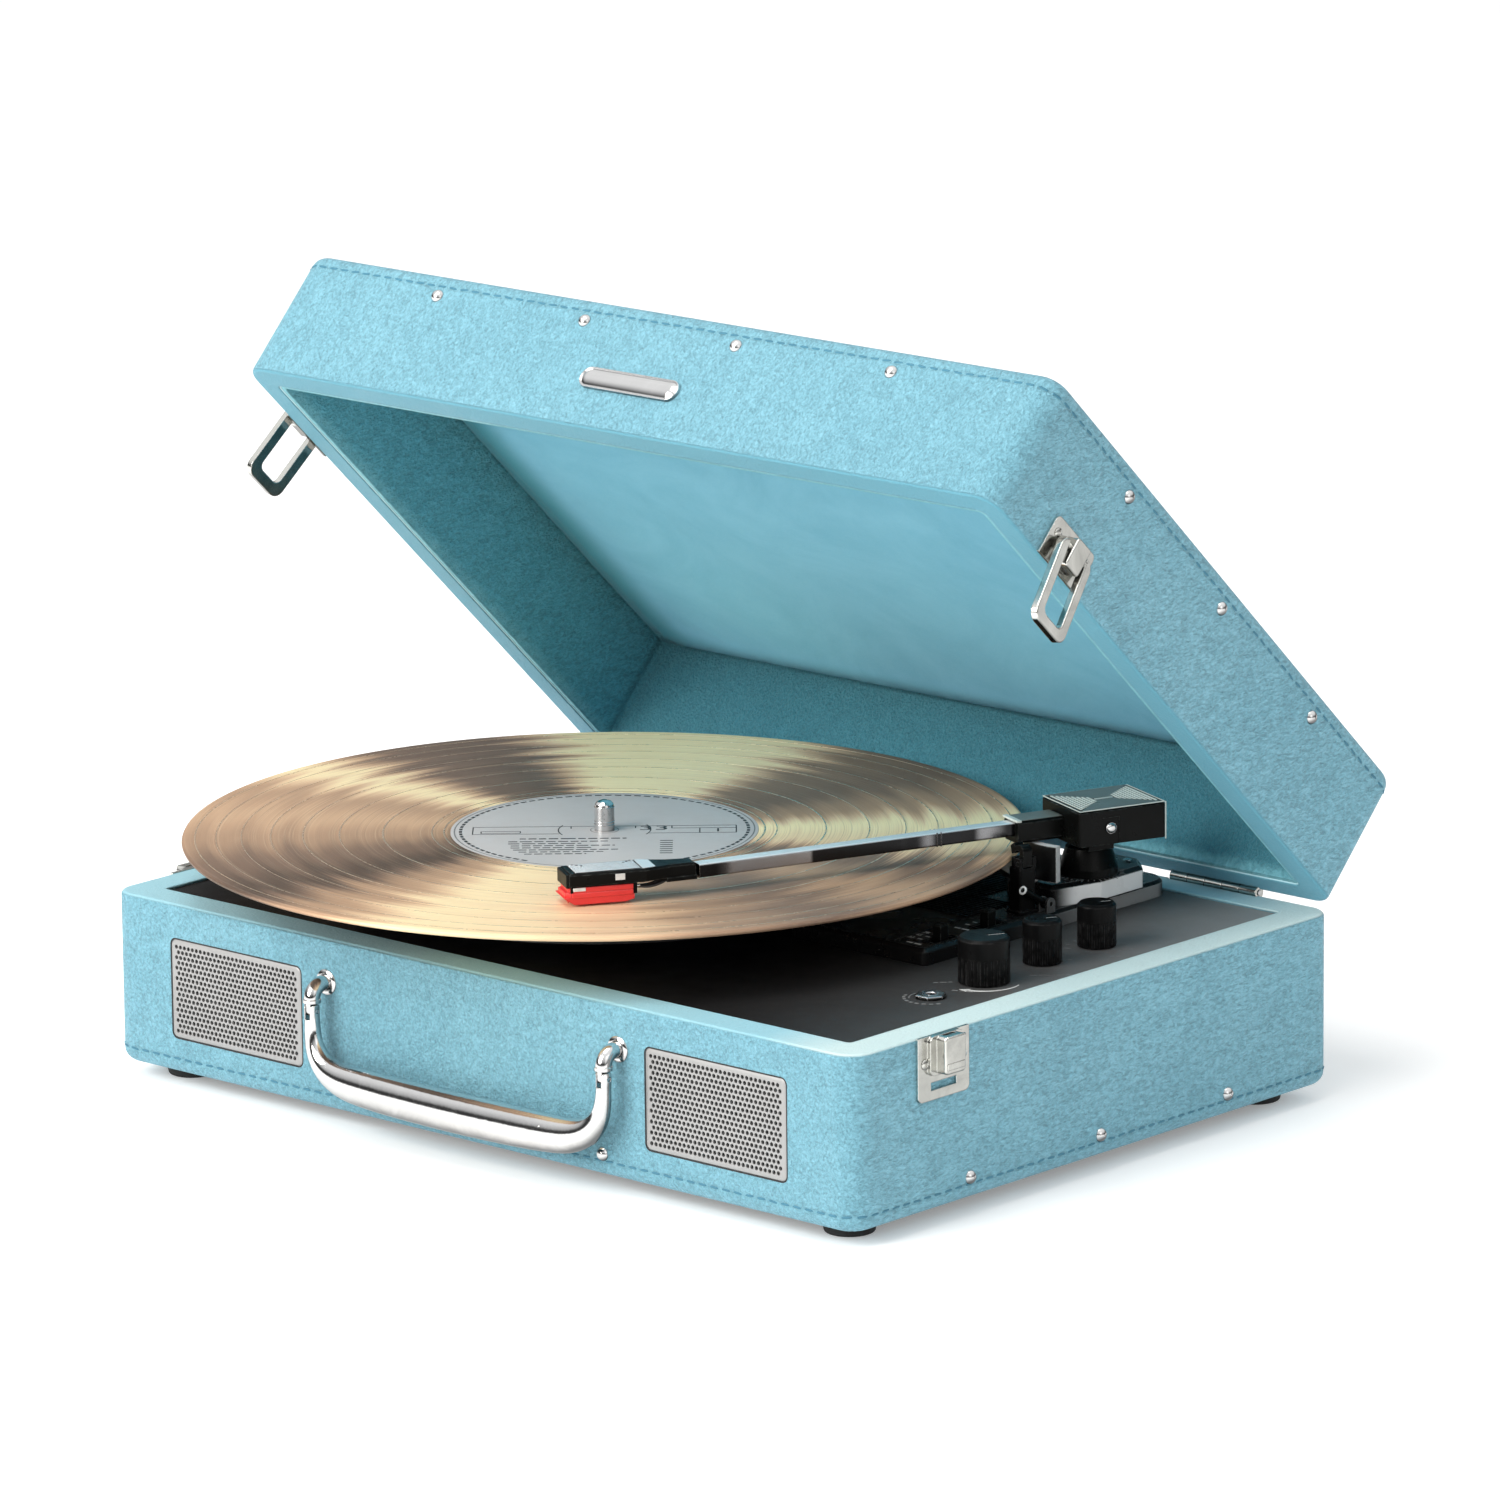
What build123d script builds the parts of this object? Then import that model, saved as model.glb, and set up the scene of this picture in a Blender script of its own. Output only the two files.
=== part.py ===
from build123d import *
import math
import os

# Suitcase record player with its lid open. Millimetres, +Z up, +X to the right seen from the
# front, +Y to the back. Origin: centre of the case's flat underside; the feet stand below it.

# ---- driving dimensions -------------------------------------------------
CASE_W, CASE_D = 356.0, 258.0        # case outline
HALF_W, HALF_D = CASE_W / 2, CASE_D / 2
BASE_H = 63.0                        # base, underside to rim
LID_H = 51.8                         # lid, rim to top
LID_GAP = 1.2                        # seam between the closed lid and the base
LID_Z = BASE_H + LID_GAP             # lid rim and top, with the lid closed
LID_TOP = LID_Z + LID_H
CORNER_R = 9.6                       # upright corners
EDGE_R = 5.0                         # bottom edge of the base and top edge of the lid
RIM_EDGE_R = 1.6                     # edges where the base and lid meet
WALL = 9.0                           # base wall
RIM = 13.5                           # width of the base's top rim
LID_WALL = 10.0
LID_OPEN = 43.875                    # lid angle at rest, degrees
HINGE_Y, HINGE_Z = HALF_D + 0.58, BASE_H + LID_GAP / 2
HINGE_X0, HINGE_X1 = 103.0, 143.0    # ends of the right hinge
DECK_TOP, PLINTH_TOP, SLAB_TOP = 62.0, 68.0, 76.0
SEAT = 0.03                          # gap under parts that sit on another part
PIN_R, PIN_HOLE_R = 0.8, 0.86        # cross pins of the cue lever, rest clip and handle

# Fittings in the base walls
FOOT_X, FOOT_Y, FOOT_H, FOOT_R = 158.0, 109.0, 5.5, 10.0
GRILLE_X, GRILLE_Z, GRILLE_W, GRILLE_H = 115.0, 32.0, 64.6, 36.2
SOCKET_X, SOCKET_Z, SOCKET_W, SOCKET_H = -70.0, 30.0, 74.0, 28.0
HANDLE_X, HANDLE_Y, HANDLE_PIN_Z = 69.9, -136.5, 38.4
HANDLE_ROD_R, HANDLE_ROD_Z = 2.9, 47.2

# Drive and record
SPIN_X, SPIN_Y, SPINDLE_R = -34.4, -22.3, 3.57
PLATTER_R, PLATTER_TOP = 92.0, 83.9
MAT_TOP = 85.5
DISC_R, DISC_TOP, LABEL_R = 150.8, 87.6, 55.0
RING_R = 55.0                        # drive ring under the platter
PULLEY_DIST, PULLEY_R = 70.0, 5.0
PULLEY_ANG = math.radians(150)       # direction from spindle to pulley
PULLEY_X = SPIN_X + PULLEY_DIST * math.cos(PULLEY_ANG)
PULLEY_Y = SPIN_Y + PULLEY_DIST * math.sin(PULLEY_ANG)

# Tonearm
PIVOT_X, PIVOT_Y, PIVOT_Z = 108.5, 76.0, 96.0
ARM_ANG = -111.5                     # direction from pivot to headshell, degrees from +X
HEAD_ANG = -121.9                    # direction of the headshell
ARM_LEN = 155.0
ARM_DX, ARM_DY = math.cos(math.radians(ARM_ANG)), math.sin(math.radians(ARM_ANG))
LIFT_R0, LIFT_R1 = 21.5, 24.5        # lift wall, radii about the pivot
LIFT_DIST = (LIFT_R0 + LIFT_R1) / 2
LIFT_X, LIFT_Y = PIVOT_X + LIFT_DIST * ARM_DX, PIVOT_Y + LIFT_DIST * ARM_DY
LIFT_HOLE_R = 2.6

# Controls: name, x, y, radius, top
KNOBS = [
    ("volume_knob", 144.0, -22.2, 9.1, 78.7),
    ("source_knob", 142.5, 10.6, 6.9, 78.0),
    ("tone_knob", 142.3, 40.3, 6.9, 78.0),
]
SWITCHES = [("speed_switch", 109.6, -5.5), ("stop_switch", 109.3, 20.2)]    # name, x, y
JACK_X, JACK_Y = 143.4, -49.8


# ---- shape helpers ------------------------------------------------------
def box(x0, x1, y0, y1, z0, z1):
    return Pos((x0 + x1) / 2, (y0 + y1) / 2, (z0 + z1) / 2) * Box(x1 - x0, y1 - y0, z1 - z0)


def block(x, y, half_x, half_y, z0, z1):
    """Box centred on an upright line."""
    return box(x - half_x, x + half_x, y - half_y, y + half_y, z0, z1)


def rbox(x0, x1, y0, y1, z0, z1, r):
    """Box with rounded upright edges."""
    face = Pos((x0 + x1) / 2, (y0 + y1) / 2, z0) * RectangleRounded(x1 - x0, y1 - y0, r)
    return extrude(face, z1 - z0)


def case_box(inset, z0, z1, r):
    """Rounded box that follows the case outline, moved in by inset."""
    return rbox(-HALF_W + inset, HALF_W - inset, -HALF_D + inset, HALF_D - inset, z0, z1, r)


def cyl(x, y, z0, z1, r):
    return Pos(x, y, (z0 + z1) / 2) * Cylinder(r, z1 - z0)


def spin_cyl(z0, z1, r):
    """Cylinder on the spindle axis."""
    return cyl(SPIN_X, SPIN_Y, z0, z1, r)


def cyl_x(x0, x1, y, z, r):
    return Pos((x0 + x1) / 2, y, z) * Rot(0, 90, 0) * Cylinder(r, x1 - x0)


def cyl_y(x, y0, y1, z, r):
    return Pos(x, (y0 + y1) / 2, z) * Rot(90, 0, 0) * Cylinder(r, y1 - y0)


def cone(x, y, z0, z1, r0, r1):
    return Pos(x, y, (z0 + z1) / 2) * Cone(r0, r1, z1 - z0)


def plate_x(y, z, w, h, r, x0, x1):
    """Rounded plate whose thickness runs along X."""
    return Pos(x0, y, z) * extrude(Plane.YZ * RectangleRounded(w, h, r), x1 - x0)


def plate_y(x, z, w, h, r, y0, y1):
    """Rounded plate whose thickness runs along Y."""
    return Pos(x, y1, z) * extrude(Plane.XZ * RectangleRounded(w, h, r), y1 - y0)


def outline(*points):
    """Face inside a closed run of straight lines."""
    return make_face(Polyline(*points, close=True))


def edges_at(shape, level, axis="Z", min_length=0):
    """Edges centred at a level on an axis and longer than min_length."""
    return shape.edges().filter_by(
        lambda edge: abs(getattr(edge.center(), axis) - level) < 1e-3
        and edge.length > min_length
    )


def solids_of(shapes):
    return Compound(children=[solid for shape in shapes for solid in shape.solids()])


def opened(shape):
    """Lid parts are drawn with the lid shut, then swung to the rest angle."""
    return shape.rotate(Axis((0, HINGE_Y, HINGE_Z), (1, 0, 0)), -LID_OPEN)


def mirrored(shape):
    return shape.mirror(Plane.YZ)


os.makedirs("parts", exist_ok=True)


def save(name, shape):
    export_step(shape, f"parts/{name}.step")


# ---- base case ----------------------------------------------------------
def hinge_relief(side, z0, z1):
    """Recess for the hinge barrel in the back wall; side is -1 for left, 1 for right."""
    x0, x1 = sorted((side * (HINGE_X0 - 1), side * (HINGE_X1 + 1)))
    return box(x0, x1, HALF_D - 2.4, HALF_D + 1, z0, z1)


shell = case_box(0, 0, BASE_H, CORNER_R)
shell = fillet(edges_at(shell, 0, min_length=1), EDGE_R)
shell = fillet(edges_at(shell, BASE_H, min_length=1), RIM_EDGE_R)
shell -= case_box(WALL, -1, 51, 4)
shell -= case_box(RIM + 4.5, 50, 60, 3)
shell -= case_box(RIM, 59.5, BASE_H + 1, 2)
# front speaker openings, each with a shallow seat for its grille, and the handle rod holes
for side in (-1, 1):
    x = side * GRILLE_X
    shell -= plate_y(x, GRILLE_Z, GRILLE_W + 0.5, GRILLE_H + 0.5, 2.4, -HALF_D - 1, -HALF_D + 1.2)
    shell -= plate_y(x, GRILLE_Z, 57, 29, 3, -HALF_D - 1, -HALF_D + WALL + 1)
    shell -= cyl_y(side * HANDLE_X, -HALF_D - 1, -HALF_D + 9.5, HANDLE_ROD_Z, HANDLE_ROD_R + 0.05)
# rear socket panel: seat and opening
shell -= plate_y(SOCKET_X, SOCKET_Z, SOCKET_W + 0.4, SOCKET_H + 0.4, 3, HALF_D - 1.6, HALF_D + 1)
shell -= plate_y(SOCKET_X, SOCKET_Z, 64, 20, 2, HALF_D - WALL - 1, HALF_D + 1)
for side in (-1, 1):
    shell -= hinge_relief(side, HINGE_Z - 3.0, BASE_H + 1)
save("base_shell", shell)

# The middle of the bottom panel stands 0.4 mm proud of the corners that carry the feet.
bottom = case_box(WALL + 0.3, 0.4, 4, 3.7)
bottom += rbox(-142, 142, -94, 94, 0, 0.5, 8)
save("bottom_panel", bottom)

# Deck plate with holes for the bearing, pulley, jack, knobs, switches and arm lift
deck = case_box(RIM + 0.3, 59.6, DECK_TOP, 1.8)
deck -= spin_cyl(50, 70, 8.1)
deck -= cyl(PULLEY_X, PULLEY_Y, 50, 70, 8.0)
deck -= cyl(JACK_X, JACK_Y, 50, 70, 4.1)
for _, x, y, _, _ in KNOBS:
    deck -= cyl(x, y, 50, 70, 3.6)
for _, x, y in SWITCHES:
    deck -= block(x, y, 2.2, 5, 50, 70)
deck -= cyl(LIFT_X, LIFT_Y, 50, 70, LIFT_HOLE_R)
save("deck_plate", deck)


# ---- feet and screws ----------------------------------------------------
def rubber_foot(x, y):
    foot = cone(x, y, -FOOT_H, 0.38, FOOT_R - 1.2, FOOT_R)
    foot = fillet(foot.edges().sort_by(Axis.Z)[0], 1.0)
    foot -= cyl(x, y, -FOOT_H - 1, -2.5, 3.6)       # recess for the screw head
    return foot - cyl(x, y, -3, 1, 1.7)


def foot_screw(x, y):
    screw = cyl(x, y, -4.2, -2.52, 3.2) + cyl(x, y, -3, 3.4, 1.6)
    return screw - block(x, y, 2.2, 0.4, -5, -3.4)  # driver slot


foot_places = [(i * FOOT_X, j * FOOT_Y) for i in (-1, 1) for j in (-1, 1)]
save("rubber_feet", solids_of([rubber_foot(x, y) for x, y in foot_places]))
save("foot_screws", solids_of([foot_screw(x, y) for x, y in foot_places]))


# ---- dome rivets --------------------------------------------------------
def rivet(radius=2.6, height=1.9, shank=5.0):
    """Dome on the XY plane, shank below it."""
    sphere_r = (radius * radius + height * height) / (2 * height)
    dome = Pos(0, 0, height - sphere_r) * Sphere(sphere_r)
    dome &= Pos(0, 0, 5) * Box(20, 20, 10)
    return dome + Pos(0, 0, -shank / 2) * Cylinder(1.1, shank)


def rivets_round_case(z, long_wall_xs):
    """Three rivets on each end wall, and one at each x on the front and back walls."""
    rivets = [
        Pos(side * HALF_W, y, z) * Rot(0, side * 90, 0) * rivet()
        for side in (1, -1) for y in (-69.2, 0, 69.2)
    ]
    rivets += [
        Pos(x, side * HALF_D, z) * Rot(-side * 90, 0, 0) * rivet()
        for side in (-1, 1) for x in long_wall_xs
    ]
    return solids_of(rivets)


save("base_rivets", rivets_round_case(8.4, (-62, 62)))
save("lid_rivets", opened(rivets_round_case(LID_Z + 41.7, (-107.6, -35.9, 35.9, 107.6))))


# ---- speakers -----------------------------------------------------------
def speaker_driver(x):
    """Mounting plate, hollow cone narrowing inwards, and a drum behind it."""
    inner_y = -HALF_D + WALL
    cone_y = inner_y + 2.0
    cone_frame = Pos(x, cone_y, GRILLE_Z) * Rot(-90, 0, 0)
    driver = plate_y(x, GRILLE_Z, 66, 38, 3, inner_y + 0.1, inner_y + 2.6)
    driver += cone_frame * Pos(0, 0, 7) * Cone(17, 9, 14)
    driver += cyl_y(x, cone_y + 13, cone_y + 24, GRILLE_Z, 14)
    return driver - cone_frame * Pos(0, 0, 4) * Cone(15, 6, 10)


grilles = [
    plate_y(side * GRILLE_X, GRILLE_Z, GRILLE_W, GRILLE_H, 2.2, -HALF_D - 0.15, -HALF_D + 1.1)
    for side in (-1, 1)
]
save("speaker_grilles", solids_of(grilles))
save("speaker_drivers", solids_of([speaker_driver(side * GRILLE_X) for side in (-1, 1)]))

# ---- electronics --------------------------------------------------------
BOARD_Z, BOARD_TOP = 36, 37.6
BOARD_CYLINDERS = [                  # x, y, radius, height
    (50, -50, 5, 12), (64, -50, 5, 12), (50, -30, 4, 9), (66, -30, 4, 9), (48, 40, 6, 10),
]
board = box(36, 132, -70, 60, BOARD_Z, BOARD_TOP)
for x, y, radius, height in BOARD_CYLINDERS:
    board += cyl(x, y, BOARD_TOP - 0.1, BOARD_TOP + height, radius)
board += (
    box(84, 104, 34, 38, 37.5, 50) + box(90, 104, -20, -6, 37.5, 40)
    + box(60, 72, 0, 12, 37.5, 39.4)
)
for x in (42, 126):
    for y in (-64, 54):
        board += cyl(x, y, 4.1, BOARD_Z + 0.2, 3)   # standoffs on the bottom panel
save("amplifier_board", board)

pots = [
    block(x, y, 8, 8, 49, 57.5) + cyl(x, y, 57, 63.2, 3.4) + cyl(x, y, 63, 74, 2.9)
    for _, x, y, _, _ in KNOBS
]
save("control_pots", solids_of(pots))

jack = cyl(JACK_X, JACK_Y, 48, 62.05, 4.0) + cyl(JACK_X, JACK_Y, 62.02, 62.9, 5.4)
jack -= cyl(JACK_X, JACK_Y, 48.9, 70, 1.78)
save("headphone_jack", jack)

# Rear panel: one DC socket, two RCA sockets and a screw near each end
DC_X = SOCKET_X + 26
RCA_XS = (SOCKET_X - 26, SOCKET_X - 10)
PANEL_SCREW_XS = (SOCKET_X - 34.2, SOCKET_X + 34.2)
panel = plate_y(SOCKET_X, SOCKET_Z, SOCKET_W, SOCKET_H, 2.8, HALF_D - 1.5, HALF_D - 0.05)
panel_holes = [(DC_X, 4.6)] + [(x, 4.3) for x in RCA_XS] + [(x, 1.4) for x in PANEL_SCREW_XS]
for x, radius in panel_holes:
    panel -= cyl_y(x, HALF_D - 5, HALF_D + 2, SOCKET_Z, radius)
save("rear_socket_panel", panel)

dc_socket = cyl_y(DC_X, HALF_D - 14, HALF_D - 0.1, SOCKET_Z, 4.5)
dc_socket -= cyl_y(DC_X, HALF_D - 11, HALF_D + 1, SOCKET_Z, 2.75)
sockets = [dc_socket]
for x in RCA_XS:
    rca = cyl_y(x, HALF_D - 14, HALF_D + 0.4, SOCKET_Z, 3.9)
    rca += cyl_y(x, HALF_D + 0.3, HALF_D + 7.5, SOCKET_Z, 4.15)
    sockets.append(rca - cyl_y(x, HALF_D - 2, HALF_D + 9, SOCKET_Z, 1.6))
save("rear_sockets", solids_of(sockets))

panel_screws = [
    cyl_y(x, HALF_D, HALF_D + 1.2, SOCKET_Z, 2.4)
    + cyl_y(x, HALF_D - 5.5, HALF_D + 0.1, SOCKET_Z, 1.3)
    for x in PANEL_SCREW_XS
]
save("rear_panel_screws", solids_of(panel_screws))

# ---- drive --------------------------------------------------------------
motor = cyl(PULLEY_X, PULLEY_Y, 28, 56, 17) + block(PULLEY_X, PULLEY_Y, 22, 10, 56, 57.6)
motor += cyl(PULLEY_X, PULLEY_Y, 57, 80.5, 1.0)     # shaft
for offset in (-19, 19):
    motor += cyl(PULLEY_X + offset, PULLEY_Y, 57.5, 59.5, 2.6)
save("motor", motor)

pulley = cyl(PULLEY_X, PULLEY_Y, 70.5, 80, PULLEY_R)
for z0, z1 in ((70.5, 71.6), (78.9, 80)):           # flanges
    pulley += cyl(PULLEY_X, PULLEY_Y, z0, z1, PULLEY_R + 1.3)
pulley -= cyl(PULLEY_X, PULLEY_Y, 60, 90, 1.05)
save("motor_pulley", pulley)

bearing = spin_cyl(42, 62.1, 8.0) + spin_cyl(62.05, 64.5, 15)
bearing -= spin_cyl(44, 70, SPINDLE_R + 0.05)
save("spindle_bearing", bearing)

# Spindle with a rounded tip; the tip's half profile is radius, z
tip_profile = outline(
    (0, 96.3), (SPINDLE_R, 96.3), (SPINDLE_R * 0.93, 97.3), (SPINDLE_R * 0.7, 98.2),
    (SPINDLE_R * 0.35, 98.65), (0, 98.75),
)
spindle = spin_cyl(44.1, 96.4, SPINDLE_R)
spindle += Pos(SPIN_X, SPIN_Y, 0) * revolve(Plane.XZ * tip_profile, Axis.Z)
save("spindle", spindle)

# Platter: dished plate with the belt's drive ring and a hub underneath
platter = spin_cyl(69.5, PLATTER_TOP, PLATTER_R) - spin_cyl(69, 81.2, PLATTER_R - 3)
platter = fillet(edges_at(platter, PLATTER_TOP, min_length=400), 1.2)
platter += spin_cyl(72.5, 81.3, RING_R) - spin_cyl(72, 81.2, RING_R - 2.5)
platter += spin_cyl(64.6, 81.3, 9)
platter -= spin_cyl(60, 90, SPINDLE_R + 0.01)
save("platter", platter)

mat = spin_cyl(PLATTER_TOP + 0.05, MAT_TOP, PLATTER_R - 2.5) - spin_cyl(80, 90, SPINDLE_R + 0.2)
save("slip_mat", mat)


def belt_loop(grow):
    """Face of the loop round the drive ring and the pulley, both grown by grow."""
    ring_r, pulley_r = RING_R + grow, PULLEY_R + grow
    tangent = math.acos((ring_r - pulley_r) / PULLEY_DIST)

    def ring_at(angle):
        angle += PULLEY_ANG
        return SPIN_X + ring_r * math.cos(angle), SPIN_Y + ring_r * math.sin(angle)

    def pulley_at(angle):
        angle += PULLEY_ANG
        return PULLEY_X + pulley_r * math.cos(angle), PULLEY_Y + pulley_r * math.sin(angle)

    return make_face(
        Line(ring_at(tangent), pulley_at(tangent))
        + ThreePointArc(pulley_at(tangent), pulley_at(0), pulley_at(-tangent))
        + Line(pulley_at(-tangent), ring_at(-tangent))
        + ThreePointArc(ring_at(-tangent), ring_at(math.pi), ring_at(tangent))
    )


BELT_W = 4.5
belt = extrude(belt_loop(0.85), BELT_W) - extrude(belt_loop(0.08), BELT_W)
save("drive_belt", Pos(0, 0, 73.2) * belt)

# ---- record -------------------------------------------------------------
disc = spin_cyl(MAT_TOP + 0.05, DISC_TOP, DISC_R)
disc = fillet(disc.edges().filter_by(GeomType.CIRCLE), 0.7)
disc -= spin_cyl(DISC_TOP - 0.12, 90, LABEL_R + 0.1)
disc -= spin_cyl(80, 90, SPINDLE_R + 0.05)
save("record_disc", disc)

label = spin_cyl(DISC_TOP - 0.1, DISC_TOP + 0.06, LABEL_R) - spin_cyl(80, 90, SPINDLE_R + 0.1)
save("record_label", label)

# ---- tonearm plinth, slab and turret ------------------------------------
CUE_X, CUE_Y, CUE_Z = 112.55, 48.0, 71.0            # cue lever pivot

plinth = box(52, 115, -20, 114.8, DECK_TOP + SEAT, PLINTH_TOP)
back_corners = plinth.edges().filter_by(Axis.Z).filter_by(lambda edge: edge.center().Y > 100)
plinth = fillet(back_corners, 9)
front_corners = plinth.edges().filter_by(Axis.Z).filter_by(lambda edge: edge.center().Y < 0)
plinth = fillet(front_corners, 2.0)
plinth = chamfer(edges_at(plinth, PLINTH_TOP), 1.3)
for _, x, y in SWITCHES:
    plinth -= block(x, y, 2.2, 5, 60, 70)
plinth -= cyl(LIFT_X, LIFT_Y, 60, 70, LIFT_HOLE_R)
# two ears that carry the cue lever
for x0, x1 in ((CUE_X - 2.35, CUE_X - 1.35), (CUE_X + 1.35, CUE_X + 2.35)):
    ear = box(x0, x1, CUE_Y - 2.2, CUE_Y + 2.2, PLINTH_TOP - 0.2, CUE_Z)
    plinth += ear + cyl_x(x0, x1, CUE_Y, CUE_Z, 2.2)
plinth -= cyl_x(100, 120, CUE_Y, CUE_Z, PIN_HOLE_R)
save("tonearm_plinth", plinth)

slab_face = outline(
    (84, 60), (92, 52.5), (111.5, 52.5), (117, 73), (117, 96), (109, 104), (92, 104), (84, 96),
)
slab = extrude(Pos(0, 0, PLINTH_TOP + SEAT) * slab_face, SLAB_TOP - PLINTH_TOP - SEAT)
slab = fillet(slab.edges().filter_by(Axis.Z), 2.0)
slab = chamfer(edges_at(slab, SLAB_TOP), 1.6)
slab -= cyl(LIFT_X, LIFT_Y, 60, 80, LIFT_HOLE_R)
save("pivot_slab", slab)

turret = cyl(PIVOT_X, PIVOT_Y, SLAB_TOP + SEAT, 79, 10.5)
turret += cone(PIVOT_X, PIVOT_Y, 79, 86, 10.5, 8.2)
turret -= cyl(PIVOT_X, PIVOT_Y, SLAB_TOP + 1, 90, 2.06)
save("turret_base", turret)


# ---- arm lift -----------------------------------------------------------
def arc_wall(r0, r1, start, end, z0, z1):
    """Curved wall about the pivot; degrees anticlockwise from the arm's rest direction."""
    start, end = math.radians(ARM_ANG + start), math.radians(ARM_ANG + end)
    middle = (start + end) / 2

    def at(r, angle):
        return PIVOT_X + r * math.cos(angle), PIVOT_Y + r * math.sin(angle)

    face = make_face(
        ThreePointArc(at(r1, start), at(r1, middle), at(r1, end))
        + Line(at(r1, end), at(r0, end))
        + ThreePointArc(at(r0, end), at(r0, middle), at(r0, start))
        + Line(at(r0, start), at(r1, start))
    )
    return extrude(Pos(0, 0, z0) * face, z1 - z0)


# The end towards the spindle stays low, under the record's edge.
LIFT_Z = SLAB_TOP + 1.5
lift = arc_wall(LIFT_R0, LIFT_R1, -8, 34, LIFT_Z, 90.6)
lift += arc_wall(LIFT_R0, LIFT_R1, -38, -7.5, LIFT_Z, 83.4)
lift += arc_wall(LIFT_R0, 32.0, -36, 8, LIFT_Z, SLAB_TOP + 3.6)
lift += cyl(LIFT_X, LIFT_Y, 62.6, SLAB_TOP + 2, LIFT_HOLE_R - 0.05)
save("lift_saddle", lift)

# Cue lever: hub with stub pins, a sloping rod and a hollow end
CUE_TIP = (CUE_X, 36.2, 77.6)
lever_dir = Vector(*CUE_TIP) - Vector(CUE_X, CUE_Y, CUE_Z)
hub = cyl_x(CUE_X - 1.2, CUE_X + 1.2, CUE_Y, CUE_Z, 1.95)
hub += cyl_x(CUE_X - 2.25, CUE_X + 2.25, CUE_Y, CUE_Z, PIN_R)
rod = Plane(origin=(CUE_X, CUE_Y, CUE_Z), z_dir=lever_dir)
rod = rod * Pos(0, 0, lever_dir.length / 2) * Cylinder(1.15, lever_dir.length)
tip_plane = Plane(origin=CUE_TIP, z_dir=lever_dir)
lever_end = tip_plane * Pos(0, 0, -1.2) * Cylinder(1.6, 4.4)
lever_end -= tip_plane * Pos(0, 0, 1.0) * Cylinder(0.85, 1.6)
save("cue_lever", hub + rod + lever_end)

# ---- arm rest, drawn about its own upright axis -------------------------
REST_FRAME = Pos(106.9, 41.7, 0) * Rot(0, 0, -10)
CLIP_X, CLIP_Z = 1.9, 86.4                          # clip pin
post = REST_FRAME * (
    rbox(-3.2, 3.2, -3.6, 3.6, PLINTH_TOP + SEAT, 84.5, 0.8)
    + rbox(-4.2, 4.0, -4.4, 4.4, PLINTH_TOP + SEAT, 69.2, 1.2)
)
post += REST_FRAME * box(-3.2, -1.6, -2.2, 2.2, 84, 88.0)
post += REST_FRAME * (
    box(0.6, 3.2, -3.6, -2.15, 84, 88.4) + box(0.6, 3.2, 2.15, 3.6, 84, 88.4)
)
post -= REST_FRAME * cyl_y(CLIP_X, -6, 6, CLIP_Z, PIN_HOLE_R)
save("arm_rest_post", post)

clip_face = outline(                                # x, z
    (0.9, 85.0), (3.1, 85.0), (3.1, 90.6), (2.8, 91.6), (2.0, 92.5), (1.0, 92.8),
    (-1.0, 92.4), (-1.7, 92.0), (-2.4, 93.1), (-4.1, 91.9), (-3.4, 88.9), (-1.8, 89.4),
    (-1.2, 90.3), (0.2, 90.8), (0.7, 90.4), (0.9, 89.6),
)
clip = extrude(Plane.XZ.offset(-2.0) * clip_face, 4.0)
clip += cyl_y(CLIP_X, -3.5, 3.5, CLIP_Z, PIN_R)
save("arm_rest_clip", REST_FRAME * clip)

# ---- tonearm, local +X along the arm, local +Y towards the case's right --
ARM_FRAME = Pos(PIVOT_X, PIVOT_Y, 0) * Rot(0, 0, ARM_ANG)
TUBE_HALF_W, TUBE_Z0, TUBE_Z1 = 2.75, PIVOT_Z - 2.5, PIVOT_Z + 2.5
HOUSING_TOP = 103

housing = rbox(-22.3, 12.5, -12.0, 16.5, 90, HOUSING_TOP, 1.2)
housing = chamfer(edges_at(housing, HOUSING_TOP), 0.8)
housing -= box(-20.3, 10.5, -10.0, 14.5, 89, 100.6)
housing -= cyl_y(0, -13, -9, PIVOT_Z, 1.22) + cyl_y(0, 14, 17.5, PIVOT_Z, 1.22)
housing -= box(9, 13, -TUBE_HALF_W - 0.1, TUBE_HALF_W + 0.1, TUBE_Z0 - 0.1, TUBE_Z1 + 0.1)
save("arm_housing", ARM_FRAME * housing)

save("counterweight", ARM_FRAME * box(-20.0, -8.5, -9.6, 14.1, 92, 100.2))

pivot_screws = [
    cyl_y(0, -12.6, -7.7, PIVOT_Z, 1.18) + cyl_y(0, -12.7, -12.05, PIVOT_Z, 2.0),
    cyl_y(0, 7.7, 17.1, PIVOT_Z, 1.18) + cyl_y(0, 16.55, 17.2, PIVOT_Z, 2.0),
]
save("arm_pivot_screws", ARM_FRAME * solids_of(pivot_screws))

yoke = box(-5, 5, -9.6, 9.6, 86.3, 88.4)
for y0, y1 in ((-9.6, -7.8), (7.8, 9.6)):
    yoke += box(-3, 3, y0, y1, 88, PIVOT_Z) + cyl_y(0, y0, y1, PIVOT_Z, 3)
yoke -= cyl_y(0, -11, 11, PIVOT_Z, 1.25)
yoke += cyl(0, 0, 78, 86.5, 2.0)                    # stem into the turret
save("arm_yoke", ARM_FRAME * yoke)

sleeve = box(12.55, 31.0, -5.2, 5.2, 91.2, 99.4)
sleeve = chamfer(sleeve.edges().filter_by(Axis.X), 1.0)
sleeve -= box(10, 40, -TUBE_HALF_W - 0.03, TUBE_HALF_W + 0.03, TUBE_Z0 - 0.05, TUBE_Z1 + 0.05)
save("arm_sleeve", ARM_FRAME * sleeve)

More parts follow.
